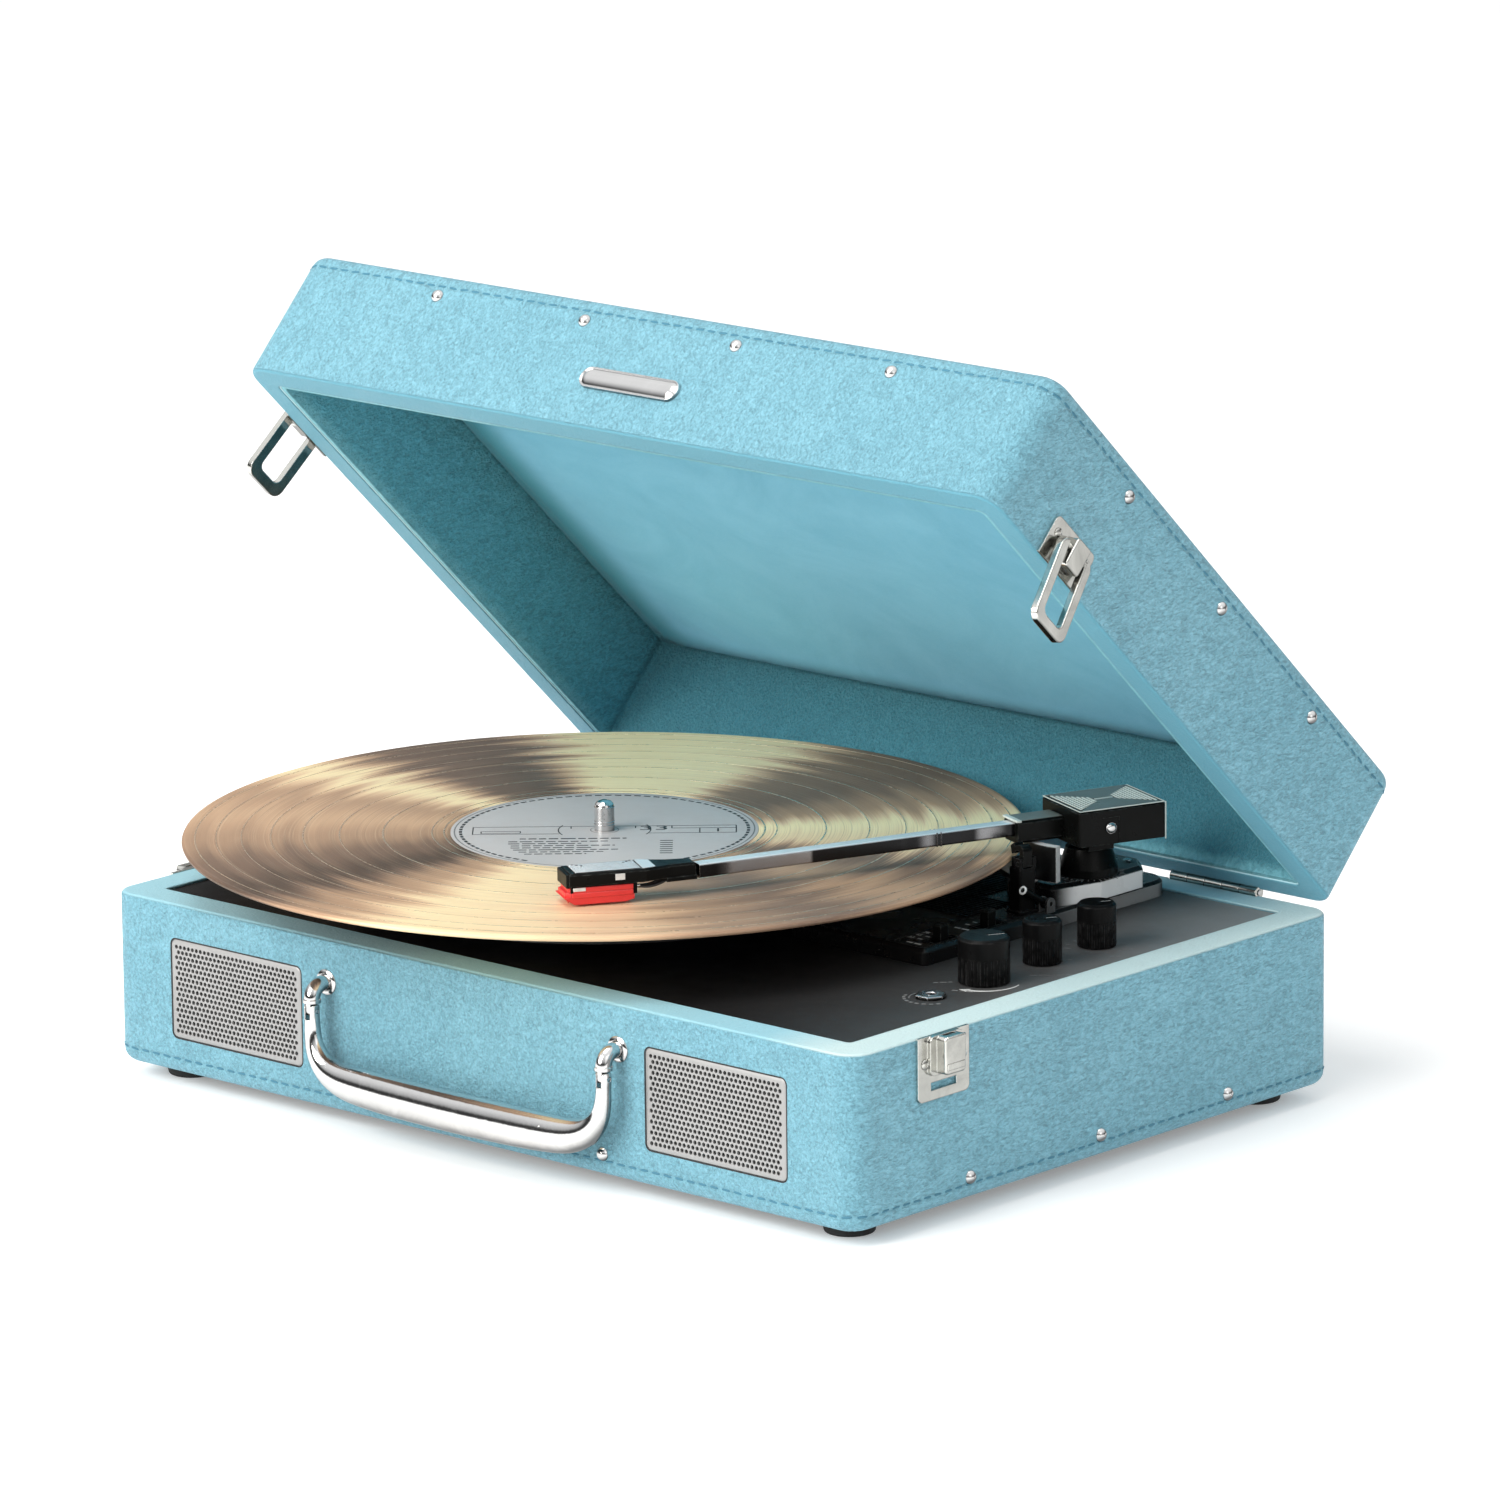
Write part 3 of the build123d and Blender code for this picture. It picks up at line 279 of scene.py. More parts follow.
def leather(name, colour, dark, rim_shading_colour, in_lid, depth=0.00085, rough=(0.5, 0.66),
            rim_shading_mix=0.8, lining_highlight_colour=None):
    """Pebbled leatherette with a smoother rim band and a seam line under the stitches. Shade is
    painted into its creases and seam, highlights onto its crests and light and shade onto the rim
    band.

    The highlight colour is given for the lid's lining: a painted highlight band above the rim.
    """
    m = Mat(name)
    m.round_edges(radius=0.0012)
    rubbed = m.edge_mask()
    x, y, z = m.xyz(m.closed_lid() if in_lid else None)

    # height of the grain: warped cells, slanting creases and folds, fine noise
    drift = m.noise(scale=260, detail=2, rough=0.5).node.outputs["Color"]
    drift = m.node("ShaderNodeVectorMath", {0: drift, "Scale": 0.0016}, operation="SCALE")
    warped = m.node("ShaderNodeVectorMath", {0: m.obj, 1: drift.outputs[0]}, operation="ADD")
    cells = m.node("ShaderNodeTexVoronoi", feature="SMOOTH_F1")
    for key, value in (("Vector", warped.outputs[0]), ("Scale", 820.0), ("Smoothness", 0.6)):
        m.put(cells.inputs[key], value)
    slant = m.mapped(Rotation=(0.35, 0.55, 0.8), Scale=(1.0, 0.42, 1.0))
    crease = m.noise(scale=1050, detail=4, rough=0.62, at=slant, warp=0.7)
    folds = m.noise(scale=260, detail=4, rough=0.6, at=slant, warp=1.2)
    fine = m.noise(scale=2600, detail=3, rough=0.6)
    height = m.add(m.mul(cells.outputs["Distance"], -0.55), m.mul(crease, 1.5))
    height = m.add(height, m.add(m.mul(fine, 0.2), m.mul(folds, 0.6)))

    rim_z, inward, seam_z = (LID_Z, 1, LID_SEAM) if in_lid else (BASE_H, -1, BASE_SEAM)
    rim = m.remap(z, span=((rim_z + inward * 0.9) * MM, (rim_z + inward * 0.4) * MM))
    off_rim = m.sub(1.0, m.mul(rim, 0.75))
    height = m.mul(height, off_rim)
    from_seam = m.math("ABSOLUTE", m.sub(z, seam_z * MM))
    seam = m.remap(from_seam, span=(0.0011, 0.0003), smooth=True)
    height = m.sub(height, m.mul(seam, 0.35))
    m.bump(m.noise(scale=38, detail=3, rough=0.5), distance=0.0009, strength=0.35)
    m.bump(height, distance=depth)

    def relief(span):
        level = m.add(m.mul(crease, 0.7), m.mul(folds, 0.3))
        return m.mul(m.remap(level, span=span), off_rim)

    blotches = m.noise(scale=13, detail=5, rough=0.62, warp=0.4)
    c = m.mix(m.remap(blotches, span=(0.3, 0.72)), dark, colour)
    crest = relief(span=(0.50, 0.64))
    # painted shade in the creases, painted highlight on the crests, painted shade in the seam
    # groove
    c = m.over(c, shade(dark, 0.62), relief(span=(0.52, 0.36)), amount=0.78)
    c = m.over(c, shade(colour, 1.25, lift=0.03), crest, amount=0.55)
    c = m.over(c, shade(dark, 0.55), seam, amount=0.12)
    # painted light and shade on the rim band: lighter on the base's upward rim, darker on the
    # lid's rim, which faces down when open
    c = m.over(c, rim_shading_colour, rim, amount=rim_shading_mix)
    if not in_lid:    # painted highlight on the right-hand lip
        right_lip_highlight = m.remap(x, span=(0.135, 0.165), to=(0.0, 0.75))
        c = m.over(c, (0.60, 0.71, 0.69), rim, amount=right_lip_highlight)
    if lining_highlight_colour:    # the wall by the hinge lies in the lid's own shade
        back_wall = m.remap(y, span=(0.1115, 0.1155), smooth=True)
        c = m.over(c, (0.012, 0.10, 0.135), back_wall, amount=0.62)
        # painted highlight: a paler band above the rim
        band = m.remap(z, span=((LID_Z + 7.0) * MM, (LID_Z + 1.5) * MM), smooth=True)
        c = m.over(c, lining_highlight_colour, band, amount=m.remap(folds, to=(0.25, 0.8)))
    spots = m.remap(m.noise(scale=150, detail=5, rough=0.7), span=(0.35, 0.7))
    c = m.over(c, shade(colour, 1.35, lift=0.05), m.mul(rubbed, spots), amount=0.5)
    r = m.remap(m.noise(scale=30, detail=5, rough=0.6), to=rough)
    m.set(Base_Color=c, Roughness=m.sub(r, m.mul(crest, 0.08)), Specular_IOR_Level=0.42,
          Sheen_Weight=0.08)


# how bright the grooves look every 15 degrees round the room, from dark trough to full glint
GLINT = [0.45, 0.20, 0.85, 1.0, 0.40, 0.20, 0.25, 0.95, 1.0, 1.0, 0.10, 0.15,
         0.95, 0.45, 0.55, 0.40, 0.20, 0.05, 0.45, 0.90, 0.85, 0.70, 0.35, 0.20]
# brightness, colour
GOLD = [(0.0, (0.045, 0.030, 0.022)), (0.2, (0.17, 0.108, 0.076)), (0.5, (0.46, 0.29, 0.18)),
        (0.75, (0.72, 0.50, 0.31)), (1.0, (0.95, 0.80, 0.48))]


def gold_vinyl():
    """Gold vinyl. Its wedges of light stay put in the room while the record turns."""
    m = Mat("gold_vinyl")
    x, y, z = m.xyz()
    radius = m.math("SQRT", m.add(m.mul(x, x), m.mul(y, y)))
    angle = m.math("ARCTAN2", y, x)
    rings = m.line_noise(radius, scale=1500, detail=5, rough=0.72)
    broad = m.line_noise(radius, scale=120, detail=3, rough=0.6)
    polar = m.node("ShaderNodeCombineXYZ", {0: m.mul(radius, 2600.0), 1: m.mul(angle, 60.0)})
    fleck = m.noise(scale=1, detail=2, rough=0.6, at=polar.outputs[0])

    # bearing in the room, 0 to 1, made ragged by the grooves
    world = m.node("ShaderNodeVectorTransform", {0: m.obj}, vector_type="VECTOR",
                   convert_from="OBJECT", convert_to="WORLD")
    world_x, world_y, _ = m.xyz(world.outputs[0])
    bearing = m.mul(m.math("ARCTAN2", world_y, world_x), 0.5 / math.pi)
    for ragged, amount in ((rings, 0.045), (broad, 0.05)):
        bearing = m.add(bearing, m.mul(m.sub(ragged, 0.5), amount))
    bearing = m.math("FRACT", m.add(bearing, 1.0))
    glints = [(k / len(GLINT), grey(value)) for k, value in enumerate(GLINT)]
    glint = m.ramp(bearing, glints + [(1.0, grey(GLINT[0]))], interpolation="EASE")

    c = m.ramp(glint, GOLD)
    c = m.over(c, (0.13, 0.08, 0.05), m.remap(rings, span=(0.50, 0.30)), amount=0.35)
    c = m.over(c, (0.90, 0.74, 0.52), m.remap(rings, span=(0.55, 0.75)), amount=0.30)
    c = m.over(c, (0.80, 0.60, 0.40), m.remap(fleck, span=(0.55, 0.8)), amount=0.12)
    uneven = m.add(m.mul(rings, 0.6), m.mul(fleck, 0.4))
    m.bump(rings, distance=0.00005, strength=0.9)
    m.bump(m.mul(fleck, 1.0), distance=0.000012, strength=0.7)
    round_axis = m.node("ShaderNodeTangent", direction_type="RADIAL", axis="Z")
    m.set(Base_Color=c, Roughness=m.remap(uneven, span=(0.3, 0.75), to=(0.36, 0.54)),
          Metallic=0.04, Anisotropic=0.7, Specular_IOR_Level=0.30,
          Tangent=round_axis.outputs[0])


def suede():
    """Brushed blue nap, with painted shade towards the lid's left wall and the hinge."""
    m = Mat("inner_pad_suede")
    nap = m.noise(scale=1700, detail=4, rough=0.7)
    brush = m.remap(m.noise(scale=16, detail=5, rough=0.65, warp=1.2), span=(0.3, 0.72))
    c = m.mix(brush, (0.155, 0.470, 0.645), (0.215, 0.565, 0.750))
    c = m.over(c, (0.34, 0.65, 0.78), m.remap(nap, span=(0.4, 0.75)), amount=0.25)
    x, y, z = m.xyz(m.closed_lid())
    # painted shade along the lid's left wall and towards the hinge
    left = m.remap(x, span=(-0.136, -0.154), smooth=True)
    ends = m.math("MAXIMUM", m.sub(m.math("ABSOLUTE", x), 0.12), 0.0)
    back = m.remap(m.add(y, m.mul(ends, 0.2)), span=(0.098, 0.109), smooth=True)
    c = m.over(c, (0.026, 0.24, 0.30), left, amount=0.8)
    c = m.over(c, (0.04, 0.24, 0.31), back, amount=0.5)
    m.bump(m.noise(scale=70, detail=4, rough=0.6), distance=0.0006, strength=0.4)
    m.bump(nap, distance=0.00022, strength=0.9)
    m.set(Base_Color=c, Roughness=m.remap(brush, span=(0, 1), to=(0.95, 0.8)),
          Specular_IOR_Level=0.15, Sheen_Weight=0.10, Sheen_Roughness=0.5)


def chrome(name, colour, rough):
    """Smeared bright plating with painted dark reflections on its low and hidden faces."""
    m = Mat(name)
    m.round_edges(radius=0.0005)
    rubbed = m.edge_mask()
    smear = m.noise(scale=55, detail=5, rough=0.65, warp=0.8)
    lines = m.noise(scale=900, detail=2, rough=0.5, at=m.mapped(Scale=(1.0, 0.06, 1.0)))
    c = m.mix(m.remap(smear, span=(0.35, 0.7)), shade(colour, 0.93), colour)
    c = m.over(c, shade(colour, 1.15), rubbed, amount=0.25)
    r = m.remap(smear, span=(0.3, 0.75), to=rough)
    r = m.add(r, m.mul(m.remap(lines, span=(0.55, 0.7)), 0.05))
    # painted dark reflection on faces turned down and away from the upper front left
    facing = m.dot(m.normal, (-0.25, -0.30, 0.92))
    low = m.add(facing, m.mul(m.sub(smear, 0.5), 0.35))
    low = m.remap(low, span=(0.10, -0.55), smooth=True)
    c = m.over(c, shade(colour, 0.10), low, amount=0.86)
    # the carry handle, out in front, has painted dark reflections of the case behind it and
    # painted shade from the floor below
    x, y, z = m.xyz()
    in_front = m.remap(y, span=(-0.1535, -0.158), smooth=True)
    normal_x, normal_y, normal_z = m.xyz(m.normal)
    under = m.mul(in_front, m.remap(normal_z, span=(0.30, -0.15), smooth=True))
    c = m.over(c, shade(colour, 0.30), under, amount=0.92)
    behind = m.mul(in_front, m.remap(normal_y, span=(0.30, 0.62), smooth=True))
    c = m.over(c, shade(colour, 0.05), behind, amount=0.92)
    m.bump(m.noise(scale=240, detail=3, rough=0.5), distance=0.00002, strength=0.5)
    m.set(Base_Color=c, Roughness=r, Metallic=1.0)


def arm_metal():
    """Polished square tube: painted highlight on top, with painted dark room reflections down its
    sides.
    """
    m = Mat("arm_silver")
    m.round_edges(radius=0.0004)
    rubbed = m.edge_mask()
    # painted highlight on upward faces, painted reflection patches down the sides
    up = m.remap(m.xyz(m.normal)[2], span=(0.15, 0.75), smooth=True)
    down_arm = m.add(m.mul(m.xyz()[0], ARM_DIR_X), m.mul(m.xyz()[1], ARM_DIR_Y))
    side_reflection = m.line_noise(down_arm, scale=26, detail=2, rough=0.5)
    side_reflection = m.remap(side_reflection, span=(0.50, 0.56), smooth=True)
    c = m.mix(up, m.mix(side_reflection, (0.012, 0.012, 0.013), (0.30, 0.30, 0.31)), (0.90, 0.90, 0.91))
    c = m.over(c, (0.75, 0.75, 0.76), rubbed, amount=0.35)
    m.bump(m.noise(scale=240, detail=3, rough=0.5), distance=0.00002, strength=0.5)
    m.set(Base_Color=c, Metallic=m.remap(up, span=(0, 1), to=(0.75, 0.55)),
          Roughness=m.remap(m.noise(scale=80, detail=4, rough=0.6), to=(0.16, 0.26)))


def mount_gloss(name, side, top, lit_span):
    """Black gloss with painted highlights where window light would fall: its right-hand faces and
    back end.

    side, top: grey and strength of the painted highlight; lit_span: the y over which it fades in.
    """
    m = Mat(name)
    m.round_edges(radius=0.0006)
    rubbed = m.edge_mask()
    x, y, z = m.xyz()
    normal_z = m.xyz(m.normal)[2]
    rightward = m.dot(m.normal, (0.97, -0.22, 0.0))
    ragged_y = m.add(y, m.mul(m.noise(scale=30, detail=3, rough=0.5), 0.02))
    lit = m.remap(ragged_y, span=lit_span, smooth=True)
    c = m.mix(m.noise(scale=25, detail=4, rough=0.6),
              (0.0035, 0.0035, 0.0038), (0.0065, 0.0065, 0.0068))
    # painted highlights on the right-hand faces and on the tops
    for (value, amount), facing, span in ((side, rightward, (0.75, 0.95)),
                                          (top, normal_z, (0.8, 0.97))):
        c = m.over(c, grey(value), m.mul(lit, m.remap(facing, span=span)), amount=amount)
    # painted highlight on the edges in the lit part
    c = m.over(c, (0.6, 0.62, 0.61), m.mul(rubbed, lit), amount=0.7)
    m.bump(m.noise(scale=1900, detail=3, rough=0.6), distance=0.00002)
    m.set(Base_Color=c, Specular_IOR_Level=0.28,
          Roughness=m.remap(m.noise(scale=70, detail=5, rough=0.6), to=(0.22, 0.36)))


def deck_paint():
    """Dusty black paint with a painted pool of light growing towards the right and the back."""
    m = Mat("deck_black")
    m.round_edges(radius=0.0005)
    edge = m.edge_mask()
    grain = m.noise(scale=2100, detail=3, rough=0.7)
    c = m.mix(m.remap(m.noise(scale=18, detail=5, rough=0.6)),
              (0.0050, 0.0050, 0.0054), (0.0090, 0.0090, 0.0096))
    x, y, z = m.xyz()
    # painted sheen: a pool of light, a brighter far corner, and grain painted brighter inside the
    # pool
    pool = m.remap(m.add(x, m.mul(y, 0.55)), span=(0.02, 0.20), smooth=True)
    c = m.over(c, grey(0.070), pool, amount=0.85)
    far_sheen = m.remap(m.add(x, m.mul(y, 0.35)), span=(0.13, 0.205), smooth=True)
    c = m.over(c, grey(0.235), far_sheen, amount=0.9)
    c = m.over(c, m.mix(pool, (0.022, 0.022, 0.023), grey(0.19)),
               m.remap(grain, span=(0.56, 0.7)),
               amount=m.remap(pool, span=(0, 1), to=(0.25, 0.6)))
    cells = m.node("ShaderNodeTexVoronoi", {"Vector": m.obj, "Scale": 240.0}, feature="F1")
    dust = m.remap(cells.outputs["Distance"], span=(0.06, 0.03))
    c = m.over(c, (0.35, 0.34, 0.33), dust, amount=0.06)
    c = m.over(c, (0.08, 0.08, 0.085), edge, amount=0.3)
    m.bump(grain, distance=0.00012, strength=0.8)
    m.set(Base_Color=c, Specular_IOR_Level=m.remap(pool, span=(0, 1), to=(0.10, 0.32)),
          Roughness=m.remap(m.noise(scale=45, detail=4, rough=0.6), to=(0.44, 0.58)))


BLUE, BLUE_DARK = (0.196, 0.452, 0.560), (0.152, 0.385, 0.490)
leather("case_leatherette", BLUE, BLUE_DARK, rim_shading_colour=(0.30, 0.55, 0.63), in_lid=False)
leather("lid_leatherette", BLUE, BLUE_DARK, rim_shading_colour=(0.096, 0.315, 0.415), in_lid=True,
        rim_shading_mix=0.9)
# pale welt colour: a painted highlight along the lid's inner rim
surface("welt_highlight", (0.45, 0.70, 0.76), rough=(0.35, 0.5), grain=900, depth=0.0001, edge=0)
leather("liner_leatherette", (0.118, 0.43, 0.53), (0.088, 0.35, 0.44),
        rim_shading_colour=(0.15, 0.42, 0.50), in_lid=True, depth=0.0006, rough=(0.45, 0.6),
        rim_shading_mix=0.5, lining_highlight_colour=(0.24, 0.58, 0.66))
suede()
surface("fibreboard", (0.05, 0.045, 0.04), rough=(0.7, 0.85), grain=700, depth=0.00015,
        var=0.3, wear=(0.2, 0.16, 0.1))
deck_paint()
surface("plinth_black", (0.0030, 0.0030, 0.0032), rough=(0.24, 0.38), grain=1900,
        depth=0.00002, wear=grey(0.10), wear_amount=0.4, edge=0.0007, spec=0.08, scratch=0.08)
chrome("chrome", grey(0.74), rough=(0.05, 0.12))
chrome("nickel", (0.72, 0.72, 0.68), rough=(0.10, 0.20))
surface("silver_mesh", grey(0.36), rough=(0.42, 0.55), metal=0.55, var=0.07, grain=1600,
        depth=0.00002, edge=0)
surface("black_rubber", grey(0.012), rough=(0.7, 0.85), grain=1300, depth=0.0001,
        wear=(0.06, 0.06, 0.055))
gold_vinyl()
surface("gold_band", (0.92, 0.74, 0.55), rough=(0.22, 0.32), metal=0.9, depth=0.00001, edge=0)
surface("paper_label", (0.46, 0.44, 0.435), rough=(0.38, 0.5), var=0.05, grain=1400,
        depth=0.00004, edge=0.0002)
surface("platter_black", grey(0.013), rough=(0.35, 0.5), grain=1200, depth=0.00005,
        wear=grey(0.1))
surface("felt_mat", (0.016, 0.016, 0.017), rough=(0.9, 1.0), grain=1700, depth=0.0003,
        sheen=0.3, edge=0)
surface("steel", (0.55, 0.55, 0.56), rough=(0.22, 0.34), metal=1.0, grain=1200,
        depth=0.00002, wear=grey(0.75))
surface("brass", (0.60, 0.43, 0.18), rough=(0.25, 0.4), metal=1.0, grain=900, depth=0.00002,
        wear=(0.8, 0.65, 0.35))
arm_metal()
surface("red_stylus", (0.66, 0.030, 0.030), rough=(0.28, 0.4), depth=0.00002,
        wear=(0.85, 0.2, 0.18), wear_amount=0.4)
mount_gloss("slab_gloss", side=(0.85, 1.0), top=(0.05, 0.8), lit_span=(0.065, 0.078))
mount_gloss("plinth_gloss", side=(0.30, 0.9), top=(0.12, 0.85), lit_span=(0.03, 0.105))
mount_gloss("saddle_gloss", side=(0.75, 0.9), top=(0.72, 0.95), lit_span=(-0.04, 0.02))
# pale grey for painted highlights on the housing's ribs, edges and sleeve lip
surface("highlight_grey", (0.55, 0.60, 0.56), rough=(0.3, 0.42), depth=0.00002, edge=0)
surface("black_gloss", (0.0030, 0.0033, 0.0031), rough=(0.24, 0.38), grain=1800,
        depth=0.00002, wear=(0.16, 0.17, 0.16), edge=0.0006, spec=0.09, scratch=0.06)
surface("housing_grey", (0.125, 0.138, 0.125), rough=(0.26, 0.38), depth=0.00002,
        wear=(0.2, 0.22, 0.21), spec=0.4)
surface("board_green", (0.03, 0.16, 0.08), rough=(0.3, 0.45), grain=900)
surface("speaker_black", grey(0.02), rough=(0.6, 0.75), grain=1100, depth=0.0001)
surface("motor_steel", grey(0.5), rough=(0.3, 0.42), metal=1.0, grain=900,
        brushed=(1, 1, 12))
surface("weight_steel", grey(0.16), rough=(0.5, 0.65), metal=0.9, grain=700, depth=0.00006)
# dark blue thread, darkened further as painted shade along the stitches
surface("thread", (0.05, 0.19, 0.27), rough=(0.6, 0.75), grain=2600, depth=0.00012, edge=0,
        brushed=(1, 1, 1))
for ink, ink_colour, ink_var in (("white_print", (0.62, 0.63, 0.62), 0.15),
                                 ("grey_print", grey(0.16), 0.15),
                                 ("dark_print", (0.012, 0.012, 0.013), 0.25)):
    surface(ink, ink_colour, rough=(0.5, 0.6), var=ink_var, var_scale=300, grain=2200,
            depth=0.00001, edge=0)
surface("wire_black", (0.03, 0.03, 0.032), rough=(0.3, 0.4), depth=0.00002, edge=0)

# material: the loaded pieces that take it
PAINT = {
    "case_leatherette": "base_shell",
    "lid_leatherette": "lid_shell",
    "liner_leatherette": "lid_liner",
    "inner_pad_suede": "lid_inner_panel",
    "fibreboard": "bottom_panel",
    "deck_black": "deck_plate",
    "plinth_black": "volume_knob source_knob tone_knob arm_rest_post",
    "plinth_gloss": "tonearm_plinth",
    "slab_gloss": "pivot_slab",
    "saddle_gloss": "lift_saddle",
    "chrome": "base_rivets lid_rivets lid_badge handle_bail handle_posts handle_pins spindle "
              "hinge_pins",
    "nickel": "base_latch_catches lid_latch_plates left_latch_loop right_latch_loop "
              "base_hinge_leaves lid_hinge_leaves",
    "silver_mesh": "speaker_grilles",
    "black_rubber": "rubber_feet drive_belt",
    "gold_vinyl": "record_disc",
    "paper_label": "record_label",
    "platter_black": "platter motor_pulley",
    "felt_mat": "slip_mat",
    "steel": "foot_screws rear_panel_screws arm_pivot_screws",
    "brass": "spindle_bearing",
    "arm_silver": "arm_tube",
    "red_stylus": "stylus",
    "black_gloss": "arm_yoke arm_housing arm_sleeve turret_base cue_lever arm_rest_clip "
                   "headshell cartridge_body headphone_jack speed_switch stop_switch "
                   "rear_socket_panel",
    "board_green": "amplifier_board",
    "speaker_black": "speaker_drivers control_pots switch_bodies rear_sockets",
    "motor_steel": "motor",
    "weight_steel": "counterweight",
}
for material_name, pieces in PAINT.items():
    for piece in pieces.split():
        mesh = NODES[piece].data
        mesh.materials.clear()
        mesh.materials.append(MATS[material_name])
        mesh.polygons.foreach_set("material_index", [0] * len(mesh.polygons))


# ---------------------------------------------------------------- mesh building, mm
def new_object(name, data):
    obj = bpy.data.objects.new(name, data)
    bpy.context.scene.collection.objects.link(obj)
    return obj


def tangents(points, closed):
    """Unit direction of a line at each of its points."""
    last = len(points) - 1
    result = []
    for i, p in enumerate(points):
        before = points[i - 1] if closed or i > 0 else p
        after = points[(i + 1) % len(points)] if closed or i < last else p
        result.append((after - before).normalized())
    return result


class Shape:
    """Gathers vertices and faces; m is the frame that a solid is drawn in."""

    def __init__(self):
        self.verts, self.faces = [], []

    def add(self, verts, faces, m=ID):
        start = len(self.verts)
        self.verts += [m @ Vector(p) for p in verts]
        self.faces += [tuple(i + start for i in face) for face in faces]

    def box(self, x0, x1, y0, y1, z0, z1, m=ID):
        verts = [(x, y, z) for z in (z0, z1) for y in (y0, y1) for x in (x0, x1)]
        self.add(verts, [(0, 2, 3, 1), (4, 5, 7, 6), (0, 1, 5, 4), (2, 6, 7, 3),
                         (0, 4, 6, 2), (1, 3, 7, 5)], m)

    def prism(self, outline, z0, z1, m=ID):
        n = len(outline)
        verts = [(x, y, z) for z in (z0, z1) for x, y in outline]
        faces = [tuple(reversed(range(n))), tuple(range(n, 2 * n))]
        faces += [(i, (i + 1) % n, n + (i + 1) % n, n + i) for i in range(n)]
        self.add(verts, faces, m)

    def lathe(self, profile, m=ID, n=48, cap=True, loop=False):
        """profile: (radius, z) down the outside; loop joins its last point to the first."""
        turns = [2 * math.pi * i / n for i in range(n)]
        verts = [(r * math.cos(a), r * math.sin(a), z) for r, z in profile for a in turns]
        count = len(profile)
        faces = []
        for j in range(count if loop else count - 1):
            row, below = j * n, (j + 1) % count * n
            for i in range(n):
                k = (i + 1) % n
                faces.append((row + i, below + i, below + k, row + k))
        if cap:
            faces += [tuple(range(n)), tuple(reversed(range((count - 1) * n, count * n)))]
        self.add(verts, faces, m)

    def stack(self, rings, m=ID, closed=False, capped=True):
        """Skin over rings of equally many points."""
        n, count = len(rings[0]), len(rings)
        faces = []
        for i in range(count if closed else count - 1):
            row, after = i * n, (i + 1) % count * n
            for j in range(n):
                k = (j + 1) % n
                faces.append((row + j, row + k, after + k, after + j))
        if capped and not closed:
            faces += [tuple(range(n)), tuple(reversed(range((count - 1) * n, count * n)))]
        self.add([p for ring in rings for p in ring], faces, m)

    def tube(self, points, r, n=8, m=ID, closed=False):
        points = [Vector(p) for p in points]
        rings = []
        for p, along_tube in zip(points, tangents(points, closed)):
            side = along_tube.cross(Vector((0, 0, 1)))
            side.normalize()
            over = side.cross(along_tube).normalized()
            turns = [2 * math.pi * j / n for j in range(n)]
            rings.append([p + (side * math.cos(a) + over * math.sin(a)) * r for a in turns])
        self.stack(rings, m, closed)

    def band(self, points, width, z0, z1, m=ID, closed=False):
        """Flat raised line along points in the XY plane."""
        points = [Vector((p[0], p[1], 0)) for p in points]
        k = len(points)
        sides = [Vector((-t.y, t.x, 0)) * (width / 2) for t in tangents(points, closed)]
        both = [p + s for p, s in zip(points, sides)] + [p - s for p, s in zip(points, sides)]
        faces = []
        for i in range(k if closed else k - 1):
            j = (i + 1) % k
            faces += [(2 * k + i, 3 * k + i, 3 * k + j, 2 * k + j), (i, j, k + j, k + i),
                      (i, 2 * k + i, 2 * k + j, j), (k + i, k + j, 3 * k + j, 3 * k + i)]
        if not closed:
            faces += [(0, k, 3 * k, 2 * k), (k - 1, 3 * k - 1, 4 * k - 1, 2 * k - 1)]
        self.add([(q.x, q.y, z) for z in (z0, z1) for q in both], faces, m)

    def screw(self, m, r, h):
        """Domed screw head with a round recess, +Z outwards."""
        self.lathe([(r, 0.0), (r * 0.96, h * 0.45), (r * 0.75, h * 0.8), (r * 0.42, h),
                    (r * 0.36, h * 0.55), (0.05, h * 0.5)], m, n=20)

    def make(self, name, mat, body, slot=None, bevel=0.0, smooth=30, replaces=(), origin=None):
        """Builds the object. smooth: edges sharper than this many degrees stay sharp."""
        mesh = bpy.data.meshes.new(name)
        mesh.from_pydata([v * MM for v in self.verts], [], self.faces)
        mesh.validate()
        bm = bmesh.new()
        bm.from_mesh(mesh)
        bmesh.ops.recalc_face_normals(bm, faces=bm.faces)
        bm.to_mesh(mesh)
        bm.free()
        mesh.materials.append(MATS[mat])
        obj = new_object(name, mesh)
        if origin:
            obj.location = Vector(origin) * MM
        if bevel:
            soft = obj.modifiers.new("soft", "BEVEL")
            soft.width, soft.segments = bevel * MM, 2
            soft.limit_method, soft.angle_limit = "ANGLE", math.radians(40)
            soft.harden_normals = False
        mesh.shade_smooth()
        mesh.set_sharp_from_angle(angle=math.radians(smooth))
        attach(obj, body)
        if replaces:
            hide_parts(*replaces)


def arc(cx, cy, r, start, stop, n=24):
    angles = [math.radians(start + (stop - start) * i / n) for i in range(n + 1)]
    return [(cx + r * math.cos(a), cy + r * math.sin(a)) for a in angles]


def circle(cx, cy, r, n):
    return arc(cx, cy, r, 0, 360, n)[:-1]


